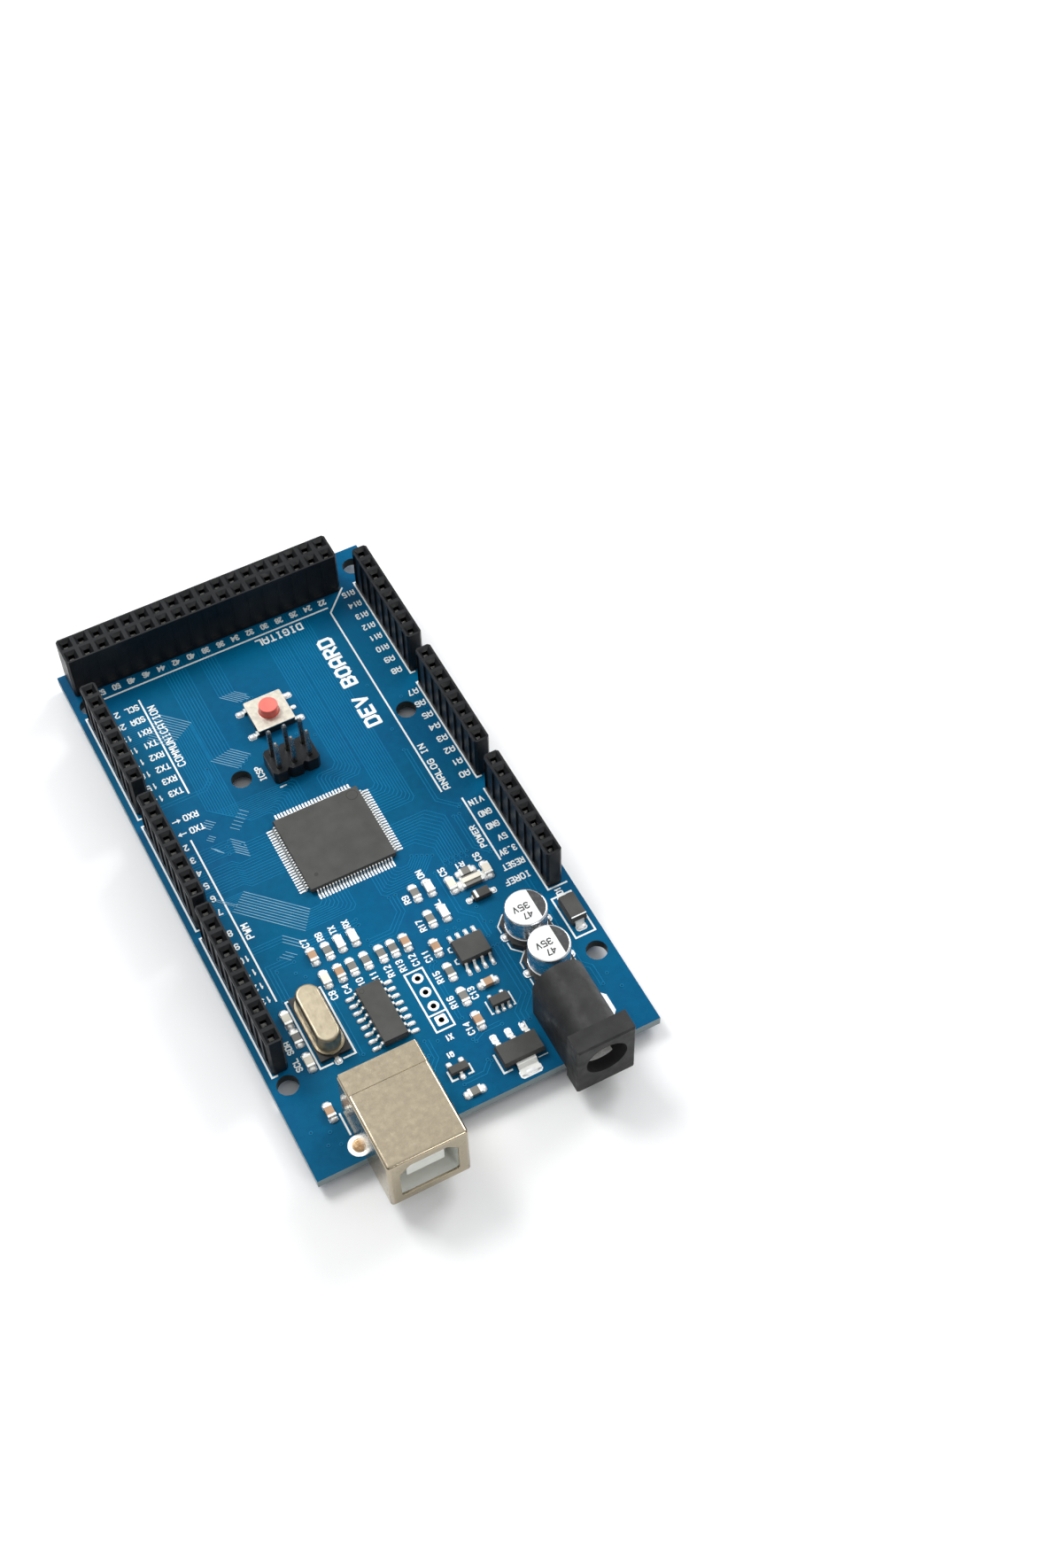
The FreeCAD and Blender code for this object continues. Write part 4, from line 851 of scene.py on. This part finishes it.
def solder_parts():
    lands, solder = Detail(), Detail()
    heights = {"resistor": 0.42, "ceramic": 0.6, "led": 0.5}
    for kind, places in CHIPS.items():
        for u, v, turns in places:
            solder_chip(lands, solder, u, v, turns, heights[kind])
    solder_chip(lands, solder, 40.3, 33.0, 1, 0.45, 1.7, 1.8)
    for k in range(25):
        for side in ("left", "right"):
            u, v = mcu_pin(side, k)
            lands.pad(u + (0.5 if side == "left" else -0.5), v, 1.25, 0.3)
            solder.mound(u + (0.28 if side == "left" else -0.28), v, 0.22, 0.14, 0.14, sides=8, steps=3)
        for side in ("near", "far"):
            u, v = mcu_pin(side, k)
            lands.pad(u, v + (0.5 if side == "near" else -0.5), 0.3, 1.25)
            solder.mound(u, v + (0.28 if side == "near" else -0.28), 0.14, 0.22, 0.14, sides=8, steps=3)
    for v in steps(18.95, 8, 1.27):
        solder_row(lands, solder, [(18.9 - 3.05, v), (18.9 + 3.05, v)], (1.25, 0.66), (0.66, 0.36, 0.42))
    for u in steps(34.85, 4, 1.27):
        solder_row(lands, solder, [(u, 22.45 - 3.05), (u, 22.45 + 3.05)], (0.66, 1.3), (0.34, 0.62, 0.4))
    for u in steps(33.35, 3, 2.3):
        solder_row(lands, solder, [(u, 8.0)], (1.0, 1.6), (0.42, 0.6, 0.35))
    solder_row(lands, solder, [(33.35, 1.25)], (3.4, 1.5), (1.5, 0.55, 0.3))
    for u in steps(34.55, 3, 0.95):
        solder_row(lands, solder, [(u, 11.75)], (0.6, 0.8), (0.29, 0.42, 0.28))
    for u in steps(34.55, 2, 1.9):
        solder_row(lands, solder, [(u, 14.35)], (0.6, 0.8), (0.29, 0.42, 0.28))
    for u, v in ((23.6, 7.3), (25.5, 7.3), (24.55, 4.9)):
        solder_row(lands, solder, [(u, v)], (0.85, 1.0), (0.45, 0.52, 0.36))
    for v in (21.2 - 2.75, 21.2 + 2.75):
        solder_row(lands, solder, [(50.7, v)], (1.7, 1.2), (0.75, 0.45, 0.4))
    for u in (40.4 - 2.0, 40.4 + 2.0):
        solder_row(lands, solder, [(u, 30.1)], (0.9, 1.0), (0.36, 0.4, 0.28))
    for u, v in ((43.7, 15.2), (43.6, 22.05)):
        solder_row(lands, solder, [(u - 3.35, v), (u + 3.35, v)], (1.5, 1.3), (0.6, 0.5, 0.32))
    for v in (21.6 - 6.3, 21.6 + 6.3):
        solder_row(lands, solder, [(10.35, v)], (1.1, 1.1), (0.42, 0.45, 0.3))
    for u in (26.5 - 4.0, 26.5 + 4.0):
        for v in (74.9 - 2.45, 74.9 + 2.45):
            solder_row(lands, solder, [(u, v)], (1.35, 1.15), (0.66, 0.52, 0.42))
    solder.mound(30.35, 74.8, 0.55, 0.42, 0.3)
    for i in range(4):
        v = 14.34 + PITCH * i
        lands.washer(25.95, v, 0.42, 0.84, 0.0, 0.05, square=(i == 0))
    for u in (7.4, 19.4):
        lands.washer(u, 2.2, 1.05, 1.68, 0.0, 0.06)
    lands.pad(46.75, 5.5, 3.4, 4.4)
    lands.done("solder_lands", "solder", "solder", rounding=0.012)
    solder.done("solder_fillets", "solder", "solder", smooth=True)
    stains = Detail()
    for u in (7.4, 19.4):
        stains.mound(u, 2.2, 1.06, 1.06, 0.05, sides=24)
    stains.done("shell_tab_flux", "flux", "solder", smooth=True)


# -------------------------------------------------------- marks on the parts
def dress_capacitors():
    """White lacquered lids with a black polarity segment and their values."""
    low, high = grid_box("capacitor_cans")
    top = high.z
    lids, marks = Detail(), Detail()
    for u, v in ((43.7, 15.2), (43.6, 22.05)):
        lids.disc(u, v, 2.86, top - 0.02, top + 0.012, 48)
        chord, radius = 1.35, 2.87
        spread = math.acos(chord / radius)
        arc = [(u + radius * math.cos(a), v + radius * math.sin(a))
               for a in (spread * (i / 10 - 1) for i in range(21))]
        marks.plate(arc, top, top + 0.022)
        marks.lettering("47", u - 0.3, v - 1.35, 1.15, 1.5, HALF, top, top + 0.024, 0.2)
        marks.lettering("35V", u - 0.7, v + 0.2, 1.15, 2.6, HALF, top, top + 0.024, 0.2)
    lids.done("capacitor_lid_lacquer", "can_top", "can_aluminium")
    marks.done("capacitor_lid_marks", "black_ink", "can_aluminium")


def dress_chips():
    """Moulded index marks, cathode bars, pale chip bodies and the resonator's lid."""
    top = grid_box("mcu_body")[1].z
    index = Detail()
    index.washer(31.1, 54.7, 0.8, 0.92, top - 0.02, top + 0.008, 32)
    index.disc(20.4, 44.3, 0.32, top - 0.02, top + 0.006, 20)
    usb_top = grid_box("usb_chip_body")[1].z
    index.washer(17.7, 23.0, 0.3, 0.4, usb_top - 0.02, usb_top + 0.006, 24)
    index.done("package_index_marks", "base", "package_black")
    bars = Detail()
    top = grid_box("signal_diode_body")[1].z
    bars.block(39.35, 39.75, 29.42, 30.78, top - 0.02, top + 0.01)
    top = grid_box("power_diode_body")[1].z
    bars.block(49.5, 51.9, 19.12, 19.3, top - 0.02, top + 0.01)
    bars.done("cathode_bars", "ink", "package_black")
    pale = Detail()
    for u, v in PALE_CAPACITORS:
        pale.block(u - 0.62, u + 0.62, v - 0.6, v + 0.6, 0.02, 0.86)
    pale.block(38.85, 41.75, 32.75, 33.55, 0.78, 0.98)
    pale.done("pale_ceramic_sleeves", "pale", "resonator_grey", rounding=0.04)


def dress_usb():
    """The rear flap that folds over the can, as a plate on its roof from the seam back."""
    low, high = grid_box("usb_shell")
    seam_v = 4.15
    flap = Detail()
    flap.block(low.x + 0.25, high.x - 0.25, seam_v, high.y - 0.12, high.z - 0.05, high.z + 0.095)
    flap.done("usb_rear_flap", "shell", "nickel_shell", rounding=0.05)


# --------------------------------------------------------------- the studio
def soft_light(name, where, target, size, watts, colour=(1, 1, 1)):
    lamp = bpy.data.lights.new(name, "AREA")
    lamp.shape = "RECTANGLE"
    lamp.size, lamp.size_y = size
    lamp.energy = watts
    lamp.color = colour
    holder = bpy.data.objects.new(name, lamp)
    holder.location = where
    holder.rotation_euler = (Vector(target) - Vector(where)).to_track_quat("-Z", "Y").to_euler()
    bpy.context.scene.collection.objects.link(holder)


def build_floor():
    finish = Finish("pale_floor", (0.90, 0.90, 0.90), 0.8)
    finish.mottle(90, (0.885, 0.885, 0.885), 0.5)
    finish.grain(0.8, 0.01)
    mesh = bpy.data.meshes.new("floor")
    reach = 12.0
    mesh.from_pydata([(-reach, -reach, 0), (reach, -reach, 0), (reach, reach, 0), (-reach, reach, 0)], [],
                     [(0, 1, 2, 3)])
    mesh.materials.append(finish.material)
    floor = bpy.data.objects.new("floor", mesh)
    bpy.context.scene.collection.objects.link(floor)


def build_world():
    """A huge soft source over the far side, falling off towards the viewer and below."""
    world = bpy.data.worlds.new("studio")
    world.use_nodes = True
    tree = world.node_tree
    place = tree.nodes.new("ShaderNodeTexCoord")
    towards = tree.nodes.new("ShaderNodeVectorMath")
    towards.operation = "DOT_PRODUCT"
    towards.inputs[1].default_value = Vector((0.10, 0.52, 0.85)).normalized()
    tree.links.new(place.outputs["Generated"], towards.inputs[0])
    fall = tree.nodes.new("ShaderNodeMapRange")
    fall.interpolation_type = "SMOOTHSTEP"
    for key, number in zip(("From Min", "From Max", "To Min", "To Max"), (0.0, 0.82, 0.09, 0.92)):
        fall.inputs[key].default_value = number
    tree.links.new(towards.outputs["Value"], fall.inputs["Value"])
    background = tree.nodes["Background"]
    background.inputs["Color"].default_value = (0.97, 0.985, 1.0, 1.0)
    tree.links.new(fall.outputs["Result"], background.inputs["Strength"])
    bpy.context.scene.world = world


def build_camera():
    """The photograph's viewpoint: over the digital side, looking down and along the board."""
    target = at(55.0, 44.9)
    distance = 0.33985
    azimuth, elevation, roll = math.radians(26.49), math.radians(54.95), math.radians(-1.59)
    flat = math.cos(elevation)
    back = Vector((-flat * math.sin(azimuth), -flat * math.cos(azimuth), math.sin(elevation)))
    camera = bpy.data.cameras.new("camera")
    camera.sensor_width = 36
    camera.lens = 51.47
    camera.clip_start = 0.01
    camera.dof.use_dof = False
    holder = bpy.data.objects.new("camera", camera)
    turn = (-back).to_track_quat("-Z", "Y").to_matrix().to_4x4() @ Matrix.Rotation(roll, 4, "Z")
    holder.matrix_world = Matrix.Translation(target + back * distance) @ turn
    bpy.context.scene.collection.objects.link(holder)
    bpy.context.scene.camera = holder


dress_cad_nodes()
lay_tracks()
print_board()
solder_parts()
dress_capacitors()
dress_chips()
dress_usb()
build_floor()
build_world()
soft_light("key", (-0.20, 0.44, 0.62), (0, 0, 0), (0.3, 0.3), 3.2)
soft_light("far_right", (0.58, 0.24, 0.50), (0, 0, 0), (0.3, 0.3), 2.6)
soft_light("front_fill", (0.16, -0.60, 0.34), (0, 0, 0), (0.2, 0.2), 0.8)
build_camera()
bpy.context.scene.view_settings.view_transform = "Standard"
